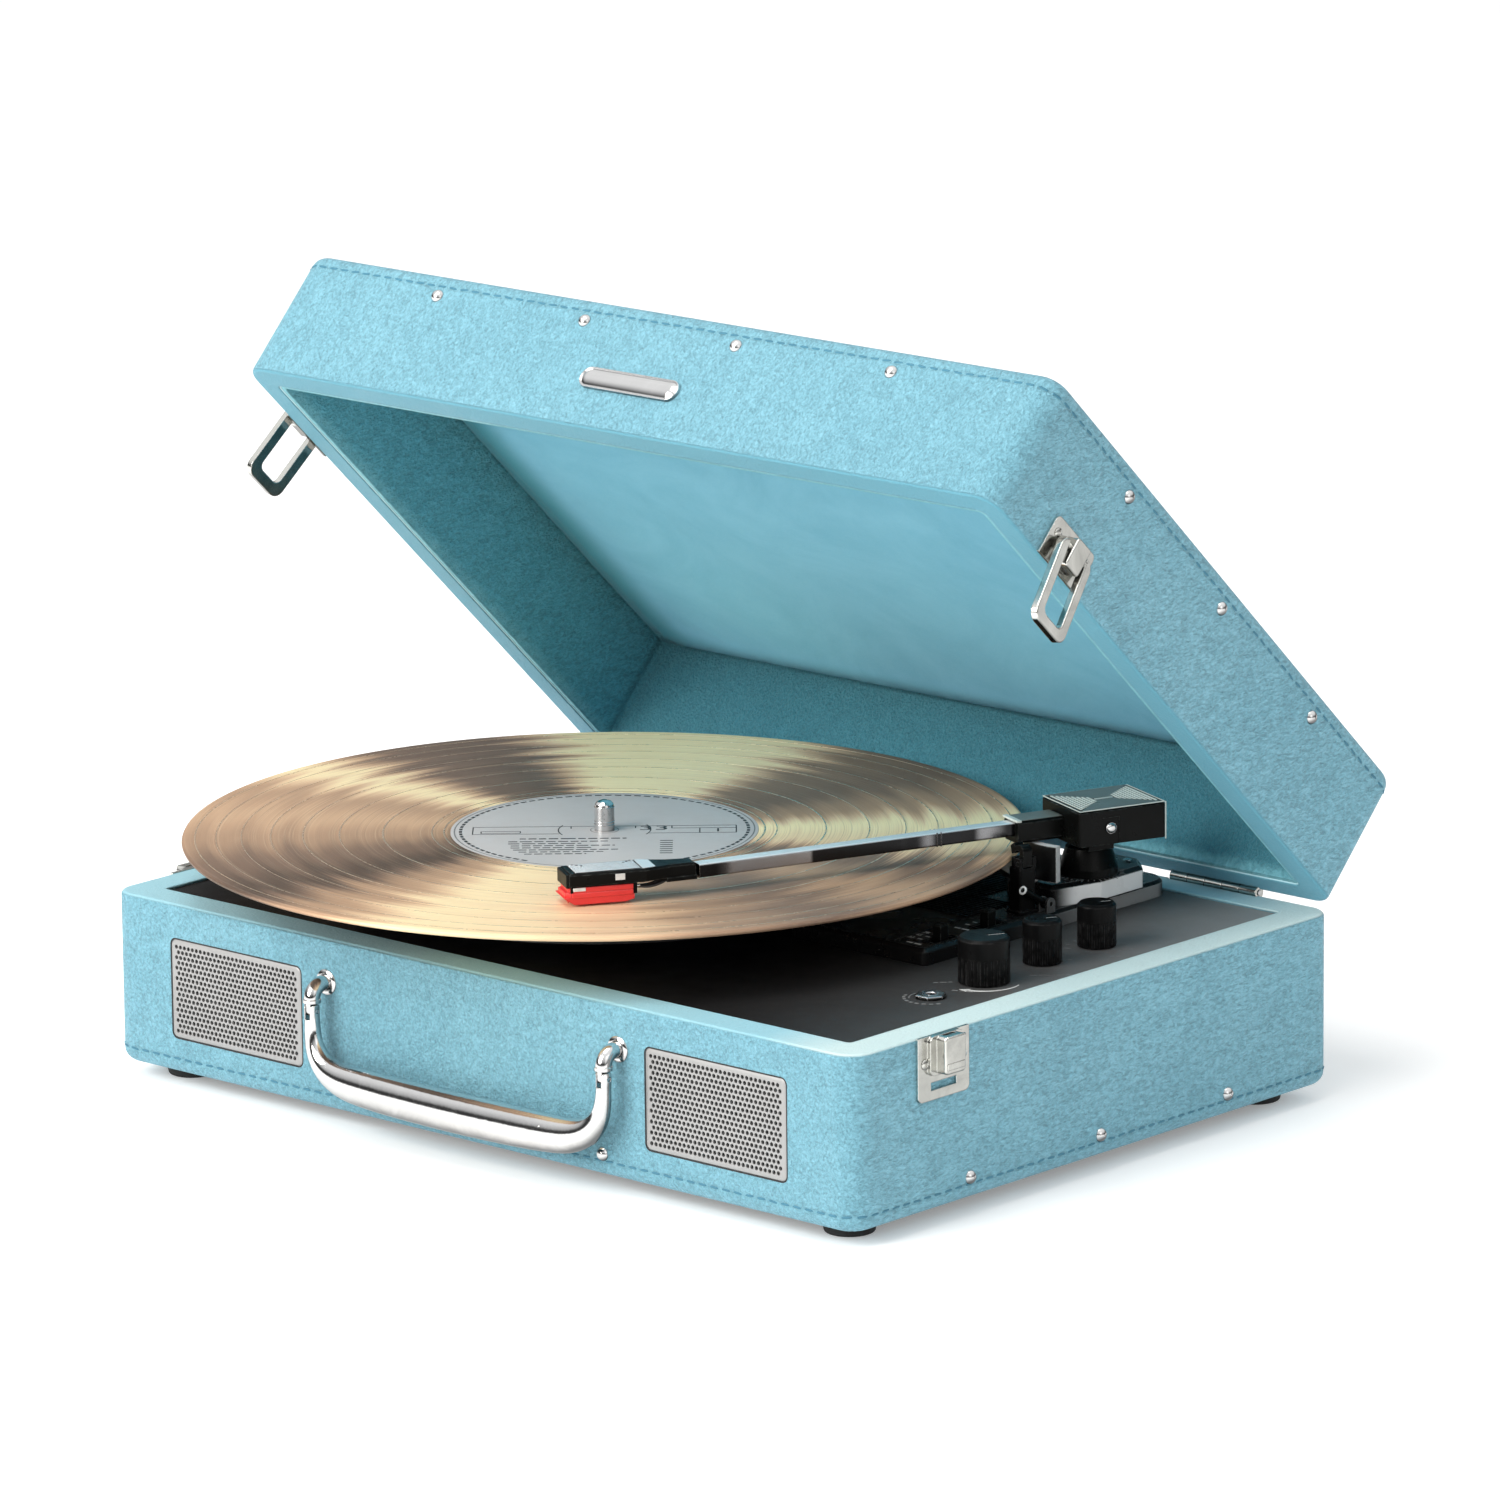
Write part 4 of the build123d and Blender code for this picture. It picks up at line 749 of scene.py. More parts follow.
def rounded(half_x, half_y, r, n=8):
    """Rounded rectangle, counter-clockwise: (point, outward normal)."""
    w, d = half_x - r, half_y - r
    points = []
    for cx, cy, start in ((w, d, 0), (-w, d, 90), (-w, -d, 180), (w, -d, 270)):
        for i in range(n + 1):
            a = math.radians(start + 90 * i / n)
            normal = Vector((math.cos(a), math.sin(a), 0))
            points.append((Vector((cx + r * normal.x, cy + r * normal.y, 0)), normal))
    return points


def loop_at(z, half_x, half_y, r, n):
    """Rounded rectangle as points at height z."""
    return [Vector((p.x, p.y, z)) for p, _ in rounded(half_x, half_y, r, n)]


def along(path, step):
    """Points every step mm along a closed outline: position, tangent, outward normal."""
    points = path + [path[0]]
    lengths = [(b[0] - a[0]).length for a, b in zip(points[:-1], points[1:])]
    total = sum(lengths)
    count = int(total / step)
    result, i, passed = [], 0, 0.0
    for k in range(count):
        distance = total * k / count
        while passed + lengths[i] < distance:
            passed += lengths[i]
            i += 1
        f = (distance - passed) / lengths[i] if lengths[i] > 1e-9 else 0
        p = points[i][0].lerp(points[i + 1][0], f)
        normal = points[i][1].lerp(points[i + 1][1], f).normalized()
        result.append((p, Vector((-normal.y, normal.x, 0)), normal))
    return result


def text(name, words, size, place, mat, body, depth, m=ID, squeeze=1.0):
    """Raised lettering as a mesh; squeeze stretches it sideways."""
    curve = bpy.data.curves.new(name + "_c", "FONT")
    curve.body, curve.size, curve.extrude = words, size, depth
    curve.align_x = curve.align_y = "CENTER"
    curve.resolution_u = 3
    temp = new_object(name + "_t", curve)
    bpy.context.view_layer.update()
    graph = bpy.context.evaluated_depsgraph_get()
    mesh = bpy.data.meshes.new_from_object(temp.evaluated_get(graph))
    bpy.data.objects.remove(temp)
    stretch = Matrix.Diagonal((squeeze, 1, 1, 1))
    mesh.transform(Matrix.Scale(MM, 4) @ m @ move(*place) @ stretch)
    mesh.materials.clear()
    mesh.materials.append(MATS[mat])
    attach(new_object(name, mesh), body)


# ---------------------------------------------------------------- stitches and welts
STITCH_STEP, STITCH_HALF, STITCH_R = 5.4, 1.85, 0.42
# along the stitch as a share of its half length, thickness as a share of its radius
STITCH_RINGS = [(-1.0, 0.25), (-0.86, 0.75), (-0.5, 1.0), (0.5, 1.0), (0.86, 0.75), (1.0, 0.25)]


def stitches(name, body, z, slot, m):
    part = Shape()
    up = Vector((0, 0, 1))
    turns = [math.pi * 2 * j / 8 for j in range(8)]
    outline = rounded(HALF_X, HALF_Y, CORNER_R)
    for k, (p, tangent, normal) in enumerate(along(outline, STITCH_STEP)):
        slant = 0.35 * noise.noise(Vector((k * 1.7, z, 0.3)))
        middle = Vector((p.x, p.y, z + slant * 0.3)) + normal * 0.02
        rings = []
        for share, thick in STITCH_RINGS:
            centre = middle + tangent * (share * STITCH_HALF) + up * (share * slant)
            rings.append([centre + (normal * math.cos(a) * 0.55 + up * math.sin(a))
                          * STITCH_R * thick for a in turns])
        part.stack(rings, m)
    part.make(name, "thread", body, slot, smooth=80)


stitches("base_stitches", "root", BASE_SEAM, "case_leatherette", ID)
stitches("lid_stitches", "lid", LID_SEAM, "lid_leatherette", OPEN)

# thin welts inside the rims of the lid and the base; the lid's welt is pale with a painted
# highlight
part = Shape()
part.tube(loop_at(LID_Z + 0.75, HALF_X - 10.2, HALF_Y - 10.2, 3.0, 6), 0.5, 6, OPEN, True)
part.make("lid_welt", "welt_highlight", "lid", "lid_leatherette", smooth=80)
part = Shape()
part.tube(loop_at(BASE_H - 0.35, HALF_X - 13.45, HALF_Y - 13.45, 2.0, 6), 0.45, 6, ID, True)
part.make("base_welt", "case_leatherette", "root", smooth=80)

# ---------------------------------------------------------------- perforated grilles
GRILLE_COLUMNS, GRILLE_ROWS = 30, 17
GRILLE_FRONT, GRILLE_BACK = -HALF_Y - 0.15, -HALF_Y + 0.75
FIELD_W, FIELD_H = GRILLE_W - 3.2, GRILLE_H - 3.2    # the perforated field


def perforated_field(part, centre_x):
    """Rows of square cells with octagonal holes, every second row shifted half a cell."""
    step_x, step_z = FIELD_W / (GRILLE_COLUMNS + 0.5), FIELD_H / GRILLE_ROWS
    hole_r = 0.39 * min(step_x, step_z) + 0.04
    left, bottom = centre_x - FIELD_W / 2, GRILLE_Z - FIELD_H / 2
    turns = [math.pi * 2 * (k + 0.5) / 8 for k in range(8)]
    for j in range(GRILLE_ROWS):
        z0, z1 = bottom + j * step_z, bottom + (j + 1) * step_z
        zc = (z0 + z1) / 2
        shift = 0.5 * step_x if j % 2 else 0.0
        # plain half cell at the end of the row
        x0 = left if shift else left + GRILLE_COLUMNS * step_x
        x1 = left + shift if shift else left + (GRILLE_COLUMNS + 0.5) * step_x
        corners = [(x0, z0), (x1, z0), (x1, z1), (x0, z1)]
        part.add([(x, GRILLE_FRONT, z) for x, z in corners], [(0, 1, 2, 3)])
        for i in range(GRILLE_COLUMNS):
            x0 = left + shift + i * step_x
            x1, xc = x0 + step_x, x0 + step_x / 2
            high, low = zc + step_z * 0.2, zc - step_z * 0.2
            square = [(x1, high), (x1, z1), (x0, z1), (x0, high),
                      (x0, low), (x0, z0), (x1, z0), (x1, low)]
            hole = [(xc + hole_r * math.cos(a), zc + hole_r * math.sin(a)) for a in turns]
            layers = ((square, GRILLE_FRONT), (hole, GRILLE_FRONT), (hole, GRILLE_BACK))
            part.stack([[(x, y, z) for x, z in ring] for ring, y in layers], capped=False)


def grille_border(part, centre_x):
    """Plain border, rolled back at its outer edge."""
    half_w, half_h = GRILLE_W / 2, GRILLE_H / 2
    outer = rounded(half_w, half_h, 2.2, 5)
    middle = rounded(half_w - 0.5, half_h - 0.5, 1.8, 5)
    inner = rounded(FIELD_W / 2, FIELD_H / 2, 0.01, 5)
    rings = []
    for outline, back in ((outer, 1.1), (outer, 0.35), (middle, 0.0), (inner, 0.0)):
        rings.append([(centre_x + p.x, GRILLE_FRONT + back, GRILLE_Z + p.y)
                      for p, _ in outline])
    part.stack(rings, capped=False)


mesh_part, cloth, line = Shape(), Shape(), Shape()
for side in (-1, 1):
    x = side * GRILLE_X
    perforated_field(mesh_part, x)
    grille_border(mesh_part, x)
    cloth.box(x - 31, x + 31, -HALF_Y + 0.9, -HALF_Y + 1.15, GRILLE_Z - 17, GRILLE_Z + 17)
    line.band(loop_at(0, GRILLE_W / 2 + 0.30, GRILLE_H / 2 + 0.30, 2.4, 5), 0.5, -0.2, 0.0,
              move(x, -HALF_Y - 0.04, GRILLE_Z) @ FORWARD, closed=True)
mesh_part.make("speaker_grille_mesh", "silver_mesh", "root", smooth=40,
               replaces=("speaker_grilles",))
cloth.make("grille_cloth", "felt_mat", "root")
line.make("grille_outline", "dark_print", "root", "silver_mesh")

# ---------------------------------------------------------------- record
TRACKS = [62.0, 79.5, 95.0, 108.0, 119.5, 130.0, 139.0, 146.4]    # radii between the tracks


def record():
    # radius, height above the disc's top face
    profile = [(HOLE_R, -0.12), (LABEL_R + 0.1, -0.12), (LABEL_R + 0.25, 0.0),
               (56.6, 0.02), (57.2, -0.05), (58.0, 0.0)]
    for start, stop in zip(TRACKS[:-1], TRACKS[1:]):
        profile += [(start - 0.9, -0.03), (start - 0.45, 0.03), (start, 0.03),
                    (start + 0.45, -0.04)]
        for i in range(16):
            r = start + 1.2 + (stop - start - 2.4) * i / 15
            profile.append((r, -0.035 + 0.028 * noise.noise(Vector((r * 1.9, 4.1, 0.0)))))
    profile += [(146.6, 0.0), (147.3, 0.04), (148.6, 0.06), (149.8, 0.02),
                (DISC_R - 0.3, -0.3), (DISC_R, -0.9), (DISC_R - 0.3, -1.6),
                (DISC_R - 1.0, -2.0), (HOLE_R, -2.0)]
    part = Shape()
    part.lathe(profile, n=288, cap=False, loop=True)
    part.make("vinyl_disc", "gold_vinyl", "record", smooth=50, replaces=("record_disc",),
              origin=(SPIN_X, SPIN_Y, DISC_TOP))


record()

# the label is turned to read from the front right
LABEL = move(SPIN_X, SPIN_Y, DISC_TOP + 0.06) @ turn(42.0)
INK = 0.03
LABEL_LINES = [    # x, y of one end, x, y of the other
    (-47, 5.2, 47, 5.2), (-47, -5.4, -16, -5.4), (16, -5.4, 47, -5.4),
    (-47, 5.2, -47, -5.4), (47, 5.2, 47, -5.4), (24, 5.2, 24, 1.6), (24, 1.6, 47, 1.6),
    (34, 1.6, 34, -5.4), (-12, 5.2, -12, 2.0), (11, 5.2, 11, 2.0),
    (-44, -1.2, -30, -1.2), (-44, -4.0, -30, -4.0), (-44, -1.2, -44, -4.0),
    (-30, -1.2, -30, -4.0),
]
LABEL_ROWS = [    # y, left end, right end, height
    (-12.5, -30, 8, 1.0), (-16.5, -34, 2, 0.8), (-19.5, -34, -8, 0.8), (-22.5, -33, 4, 0.8),
    (-25.5, -33, -4, 0.8), (-28.5, -32, 6, 0.8), (-31.5, -30, 0, 0.8), (-34.5, -28, -6, 0.8),
]
part = Shape()
for x0, y0, x1, y1 in LABEL_LINES:
    part.band([(x0, y0), (x1, y1)], 0.42, 0.0, INK, LABEL)
for start, stop in ((-25, 25), (155, 205)):
    part.band(arc(0, 0, 16.5, start, stop), 0.42, 0.0, INK, LABEL)
for i, (y, x, x_end, height) in enumerate(LABEL_ROWS):    # bars standing for lines of type
    k = 0
    while x < x_end:
        width = 2.2 + 2.6 * abs(noise.noise(Vector((i * 3.3, k * 1.9, 7.0)))) * 2
        part.box(x, min(x + width, x_end), y - height * 0.6, y + height * 0.6, 0.0, INK, LABEL)
        x += width + 0.9
        k += 1
    if i > 0:
        part.box(20, 24.5, y - 0.45, y + 0.45, 0.0, INK, LABEL)
for start in range(-60, 240, 4):    # dashes round the edge, with gaps
    if noise.noise(Vector((start * 0.37, 2.0, 1.0))) > -0.45:
        part.band(arc(0, 0, 51.4, start, start + 2.7, 4), 1.15, 0.0, INK, LABEL)
part.make("label_print", "dark_print", "record", "paper_label")
text("label_speed", "33", 8.4, (17.6, 1.7, 0.015), "dark_print", "record", depth=0.012,
     m=LABEL, squeeze=1.35)
text("label_side", "1", 6.6, (40.5, -1.9, 0.015), "dark_print", "record", depth=0.012, m=LABEL)

part = Shape()
for r, n, width in ((53.6, 120, 0.5), (5.0, 40, 0.35)):
    part.band(circle(0, 0, r, n), width, -0.02, 0.02, LABEL, closed=True)
part.make("label_rings", "grey_print", "record", "paper_label")

TRACK_BANDS = [    # radius, width
    (57.3, 0.5), (61.6, 0.42), (79.1, 0.5), (94.6, 0.36), (107.6, 0.34), (119.1, 0.32),
    (129.6, 0.3), (138.6, 0.3), (146.1, 0.35),
]
part = Shape()
for r, width in TRACK_BANDS:
    part.band(circle(SPIN_X, SPIN_Y, r, 240), width, DISC_TOP - 0.02, DISC_TOP + 0.05,
              closed=True)
part.make("track_bands", "gold_band", "record", "gold_vinyl", smooth=60)

part = Shape()
for z in (DISC_TOP + 2.4, DISC_TOP + 3.4, 96.2):
    part.lathe([(3.60, z + 0.18), (3.72, z), (3.60, z - 0.18)], SPINDLE, n=40, cap=False)
part.make("spindle_rings", "chrome", "platter", smooth=60)

# ---------------------------------------------------------------- padded panel in the lid
PAD_X, PAD_Y, PAD_R = 161.5, 112.5, 12.0    # half sizes and corner radius
PAD_Z = LID_TOP - 6.25                      # its back, against the lining
PAD_COLUMNS, PAD_ROWS, FOAM_CELLS = 150, 106, 60
PAD_SCALE = 0.01    # the drape is worked out ten times life size, where cloth settles steadily
PAD_FRAMES = 24


def pad_height(x, y):
    """Height of a soft board, from the distance to its rounded edge."""
    dx, dy = abs(x) - (PAD_X - PAD_R), abs(y) - (PAD_Y - PAD_R)
    inside = PAD_R - (math.hypot(dx, dy) if dx > 0 and dy > 0 else max(dx, dy))
    t = max(0.0, min(1.0, inside / 9.5))
    return 0.5 + 3.4 * (1 - (1 - t) ** 2.2)


def grid_object(name, points, columns, rows):
    faces = []
    for j in range(rows):
        for i in range(columns):
            a = j * (columns + 1) + i
            faces.append((a, a + 1, a + columns + 2, a + columns + 1))
    mesh = bpy.data.meshes.new(name)
    mesh.from_pydata([Vector(p) * PAD_SCALE for p in points], [], faces)
    return new_object(name, mesh)


def fabric():
    """The flat-cut cloth over the board, and the indices of its border."""
    points, border = [], []
    for j in range(PAD_ROWS + 1):
        for i in range(PAD_COLUMNS + 1):
            x = -PAD_X + 2 * PAD_X * i / PAD_COLUMNS
            y = -PAD_Y + 2 * PAD_Y * j / PAD_ROWS
            dx, dy = abs(x) - (PAD_X - PAD_R), abs(y) - (PAD_Y - PAD_R)
            if dx > 0 and dy > 0 and math.hypot(dx, dy) > PAD_R:    # pull onto the corner
                pull = PAD_R / math.hypot(dx, dy)
                x = math.copysign(PAD_X - PAD_R + dx * pull, x)
                y = math.copysign(PAD_Y - PAD_R + dy * pull, y)
            lift = 0.55
            if i in (0, PAD_COLUMNS) or j in (0, PAD_ROWS):
                border.append(len(points))
                lift = 0.0
            points.append((x, y, pad_height(x, y) + lift))
    return grid_object("lid_padding", points, PAD_COLUMNS, PAD_ROWS), border


def foam_board():
    """The uneven foam under the fabric, for the cloth to settle on."""
    points = []
    for j in range(FOAM_CELLS + 1):
        for i in range(FOAM_CELLS + 1):
            x = -PAD_X * 1.02 + 2.04 * PAD_X * i / FOAM_CELLS
            y = -PAD_Y * 1.02 + 2.04 * PAD_Y * j / FOAM_CELLS
            uneven = 0.30 * noise.noise(Vector((x * 0.021, y * 0.021, 1.0)))
            points.append((x, y, pad_height(x, y) - 0.45 + uneven))
    foam = grid_object("foam", points, FOAM_CELLS, FOAM_CELLS)
    foam.modifiers.new("c", "COLLISION")
    foam.collision.thickness_outer = 0.004
    foam.collision.cloth_friction = 8.0
    return foam


def drape(cover, border):
    """Settles the cover on the foam and keeps the settled mesh."""
    cover.vertex_groups.new(name="pin").add(border, 1.0, "REPLACE")
    foam = foam_board()
    cloth = cover.modifiers.new("cloth", "CLOTH")
    settings = {
        "quality": 4, "mass": 0.3, "tension_stiffness": 12, "compression_stiffness": 10,
        "shear_stiffness": 6, "bending_stiffness": 0.4, "shrink_min": -0.004,
        "vertex_group_mass": "pin",
    }
    for key, value in settings.items():
        setattr(cloth.settings, key, value)
    cloth.collision_settings.distance_min = 0.004
    cloth.collision_settings.collision_quality = 2
    cloth.collision_settings.use_self_collision = False
    cloth.point_cache.frame_start, cloth.point_cache.frame_end = 1, PAD_FRAMES
    scene = bpy.context.scene
    for step in range(1, PAD_FRAMES + 1):
        scene.frame_set(step)
    graph = bpy.context.evaluated_depsgraph_get()
    settled = bpy.data.meshes.new_from_object(cover.evaluated_get(graph), depsgraph=graph)
    cover.modifiers.clear()
    cover.data = settled
    bpy.data.objects.remove(foam)
    scene.frame_set(1)


def lid_padding():
    cover, border = fabric()
    drape(cover, border)
    # turned over to face down from the closed lid's ceiling, then opened with the lid
    cover.data.transform(Matrix.Scale(MM, 4) @ OPEN @ move(0, 0, PAD_Z) @ turn(180, "X")
                         @ Matrix.Scale(1 / PAD_SCALE, 4))
    cover.data.materials.clear()
    cover.data.materials.append(MATS["inner_pad_suede"])
    cover.data.shade_smooth()
    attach(cover, "lid")
    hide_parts("lid_inner_panel")


lid_padding()
part = Shape()
part.tube(loop_at(PAD_Z - 0.6, PAD_X, PAD_Y, PAD_R, 8), 0.75, 8, OPEN, closed=True)
part.make("pad_piping", "inner_pad_suede", "lid", smooth=80)

# ---------------------------------------------------------------- knobs and deck marks
for name, (x, y, r, top) in KNOBS.items():
    part = Shape()
    part.box(1.6, r - 1.5, -0.28, 0.28, top - 0.6, top - 0.12, move(x, y, 0) @ turn(60))
    part.make(name + "_mark", "white_print", name, "plinth_black", bevel=0.05)
    part = Shape()
    part.lathe([(r + 0.02, 71.9), (r + 0.07, 71.7), (r + 0.02, 71.5)], move(x, y, 0), n=72,
               cap=False)
    part.make(name + "_line", "black_gloss", name, "plinth_black", smooth=60)

DECK_INK = DECK + 0.05    # top of print on the deck


def volume_arrow():
    """Tapering arc round the volume knob with a triangular head at its wide end."""
    x, y = KNOBS["volume_knob"][:2]
    tail_angle, head_angle, steps = 20, -75, 26
    outer = arc(x, y, 13.6, head_angle, tail_angle, steps)
    inner = arc(x, y, 12.1, head_angle, tail_angle, steps)
    points = []
    for i in range(steps + 1):
        out = Vector((*outer[i], 0))
        middle = (out + Vector((*inner[i], 0))) / 2
        half = (out - middle) * (0.25 + 0.75 * (1 - i / steps))
        points += [middle + half, middle - half]
    top = len(points)
    faces = []
    for a in range(0, 2 * steps, 2):
        faces += [(top + a, top + a + 1, top + a + 3, top + a + 2),
                  (a, a + 2, top + a + 2, top + a),
                  (a + 1, top + a + 1, top + a + 3, a + 3)]
    part = Shape()
    part.add([(p.x, p.y, z) for z in (DECK, DECK_INK) for p in points], faces)
    a = math.radians(head_angle)
    outward, onward = Vector((math.cos(a), math.sin(a))), Vector((math.sin(a), -math.cos(a)))
    tip = Vector((x, y)) + outward * 12.85
    heel = tip - onward * 0.2
    part.prism([heel + outward * 2.0, tip + onward * 3.4, heel - outward * 2.0],
               DECK, DECK_INK)
    part.make("volume_arrow", "white_print", "root", "deck_black")


volume_arrow()

DECK_WORDS = [    # x, y, angle, lengths of the bars
    (133.6, -32.0, 48, (1.6, 2.2, 1.2)), (146.5, -36.5, 20, (2.2, 1.4, 2.6)),
    (154.5, -2.0, 42, (2.4, 1.6, 3.0, 1.2)), (157.5, 1.0, 42, (1.8, 2.4, 2.0, 2.6)),
    (135.0, 30.0, 42, (2.0, 1.6)), (156.5, 33.5, 42, (1.4, 1.4)), (153.5, 44.0, 42, (1.6, 1.2)),
]
part = Shape()
for cx, cy, angle, bars in DECK_WORDS:
    x = -sum(bars) / 2 - 0.4 * (len(bars) - 1)
    for bar in bars:
        part.box(x, x + bar, -0.42, 0.42, DECK, DECK_INK, move(cx, cy, 0) @ turn(angle))
        x += bar + 0.8
part.box(160.2, 163.4, 27.6, 28.4, DECK, DECK_INK)    # a plus sign
part.box(161.4, 162.2, 26.4, 29.6, DECK, DECK_INK)
for knob, angles, r0, r1, half in (
        ("tone_knob", range(-60, 270, 30), 9.6, 10.9, 0.2),
        ("source_knob", (60, 90, 120), 9.4, 11.0, 0.25)):
    for angle in angles:
        part.box(r0, r1, -half, half, DECK, DECK_INK, move(*KNOBS[knob][:2], 0) @ turn(angle))
part.make("deck_legends", "grey_print", "root", "deck_black")

part = Shape()
for start in range(196, 340, 16):
    part.band(arc(JACK_X, JACK_Y, 9.2, start, start + 9, 4), 1.1, DECK, DECK_INK)
part.band(arc(JACK_X, JACK_Y, 7.4, 150, 230, 12), 0.35, DECK, DECK_INK)
part.make("jack_legend", "grey_print", "root", "deck_black")

part = Shape()
at_jack = move(JACK_X, JACK_Y, 0)
part.lathe([(5.5, 62.35), (5.5, 63.1), (5.0, 63.35), (3.2, 63.35), (2.7, 62.95)], at_jack,
           n=6, cap=False)
part.lathe([(2.9, 63.2), (2.75, 63.42), (2.0, 63.42), (1.85, 63.1), (1.85, 61.0)], at_jack,
           n=32, cap=False)
part.make("jack_nut", "steel", "root", "black_gloss", smooth=25)

# ---------------------------------------------------------------- plinth details
part = Shape()
for i in range(42):    # ribbed field, narrower towards the back
    y = 24.0 + i * 2.0
    part.box(62.0, 97.0 if y < 50 else 82.0, y - 0.42, y + 0.42, PLINTH - 0.1, PLINTH + 0.42)
part.make("plinth_ribs", "plinth_black", "root", bevel=0.12)

part = Shape()
for points, width, height in (
        ([(97.5, -17.0), (97.5, 21.0), (102.0, 27.5), (113.2, 27.5)], 0.6, 0.28),
        ([(54.2, -17.8), (113.0, -17.8)], 0.5, 0.22),
        ([(113.0, -17.8), (113.0, 40.0)], 0.5, 0.22)):
    part.band(points, width, PLINTH - 0.05, PLINTH + height)
part.make("plinth_lines", "black_gloss", "root", "plinth_black", bevel=0.1)

bezels, marks = Shape(), Shape()
for x, y in SWITCHES.values():
    bezels.band([(x - 3.2, y - 6.2), (x + 3.2, y - 6.2), (x + 3.2, y + 6.2),
                 (x - 3.2, y + 6.2)], 0.7, PLINTH - 0.05, PLINTH + 0.35, closed=True)
    for dy in (-4.0, 0.0, 4.0):
        marks.box(x - 7.0, x - 5.0, y + dy - 0.45, y + dy + 0.45, PLINTH, PLINTH + 0.05)
    for x0, x1 in ((-7.0, -4.4), (-3.6, -0.6)):
        marks.box(x + x0, x + x1, y - 10.2, y - 9.2, PLINTH, PLINTH + 0.05)
bezels.make("switch_bezels", "black_gloss", "root", "plinth_black", bevel=0.1)
marks.make("switch_marks", "white_print", "root", "plinth_black")
for letter, speed, y in (("a", "33", -9.5), ("b", "45", -5.5), ("c", "78", -1.5)):
    text("speed_mark_" + letter, speed, 2.8, (99.6, y, PLINTH + 0.02), "white_print", "root",
         depth=0.02)

for name, (x, y) in SWITCHES.items():    # ridges on the slide switches
    part = Shape()
    for k in range(-2, 3):
        part.box(x - 1.7, x + 1.7, y + k * 0.75 - 0.18, y + k * 0.75 + 0.18, 73.5, 73.85)
    part.make(name + "_ridges", "black_gloss", name, bevel=0.05)

part = Shape()
for x, y in ((91.5, 97.0), (108.5, 97.5)):
    part.lathe([(1.9, SLAB + 0.5), (1.7, SLAB + 0.75), (0.4, SLAB + 0.8)], move(x, y, 0), n=24)
part.make("slab_screws", "steel", "root")

part = Shape()
for i in range(36):    # ring of ticks under the pivot, every third one longer
    part.box(11.2, 12.6 if i % 3 else 13.6, -0.14, 0.14, SLAB - 0.02, SLAB + 0.12,
             move(PIVOT_X, PIVOT_Y, 0) @ turn(10 * i))
part.make("pivot_scale", "grey_print", "root", "plinth_black")

# ---------------------------------------------------------------- tonearm housing
# Frame of the arm: X runs from the pivot towards the head, +Y to the player's right.
HOUSE_X0, HOUSE_X1, HOUSE_Y0, HOUSE_Y1 = -22.3, 12.5, -12.0, 16.5
HOUSE_LOW = 102.9    # underside of the raised ribs and fields
house_cx, house_cy = (HOUSE_X0 + HOUSE_X1) / 2, (HOUSE_Y0 + HOUSE_Y1) / 2
house_w, house_d = (HOUSE_X1 - HOUSE_X0) / 2 - 1.4, (HOUSE_Y1 - HOUSE_Y0) / 2 - 1.4

# the ribs take a pale painted highlight
part = Shape()
for k in range(8):    # ribs across the two ends, shorter towards the middle
    out = house_w - 1.0 - k * 1.45
    half = house_d * out / house_w - 0.5
    for end in (-1, 1):
        x = house_cx + end * out
        part.box(x - 0.40, x + 0.34, house_cy - half, house_cy + half, HOUSE_LOW, 103.3, ARM)
part.box(house_cx - 3.6, house_cx + 3.6, house_cy - 0.45, house_cy + 0.45, HOUSE_LOW, 103.3,
         ARM)
part.make("housing_ribs", "highlight_grey", "tonearm", "black_gloss", bevel=0.08)

part = Shape()
for side in (-1, 1):    # plain fields between the ribs
    outer, inner = house_cy + side * (house_d + 0.9), house_cy + side * 1.0
    points = [(house_cx - house_w - 0.2, outer), (house_cx + house_w + 0.2, outer),
              (house_cx + 3.8, inner), (house_cx - 3.8, inner)]
    part.prism(points[::-side], HOUSE_LOW, 103.16, ARM)
part.make("housing_fields", "housing_grey", "tonearm", "black_gloss", bevel=0.08)

# painted highlight lines round the housing's top edge and down one corner
part = Shape()
x0, x1, y0, y1 = HOUSE_X0 + 0.45, HOUSE_X1 - 0.45, HOUSE_Y0 + 0.45, HOUSE_Y1 - 0.45
part.band([(x0, y0), (x1, y0), (x1, y1), (x0, y1)], 0.34, 102.8, 103.12, ARM, closed=True)
part.box(HOUSE_X0 - 0.06, HOUSE_X0 + 0.30, HOUSE_Y1 - 0.30, HOUSE_Y1 + 0.06, 89.4, 103.0, ARM)
part.make("housing_edge_highlight", "highlight_grey", "tonearm", "black_gloss")

# open line round the pivot screw on the housing's right face
part = Shape()
part.band([(-3.4, 5.8), (-3.4, -3.8), (3.2, -3.8)], 0.35, -0.1, 0.14,
          ARM @ move(0, HOUSE_Y1, PIVOT_Z) @ BACKWARD)
part.make("housing_notch", "black_gloss", "tonearm")

part = Shape()
for y, side in ((17.2, 1), (-12.7, -1)):
    part.lathe([(1.9, 0.0), (1.75, 0.3), (1.1, 0.52), (0.25, 0.58)],
               ARM @ move(0, y, PIVOT_Z) @ turn(-90 * side, "X"), n=24)
part.make("pivot_screw_domes", "chrome", "tonearm", smooth=60)

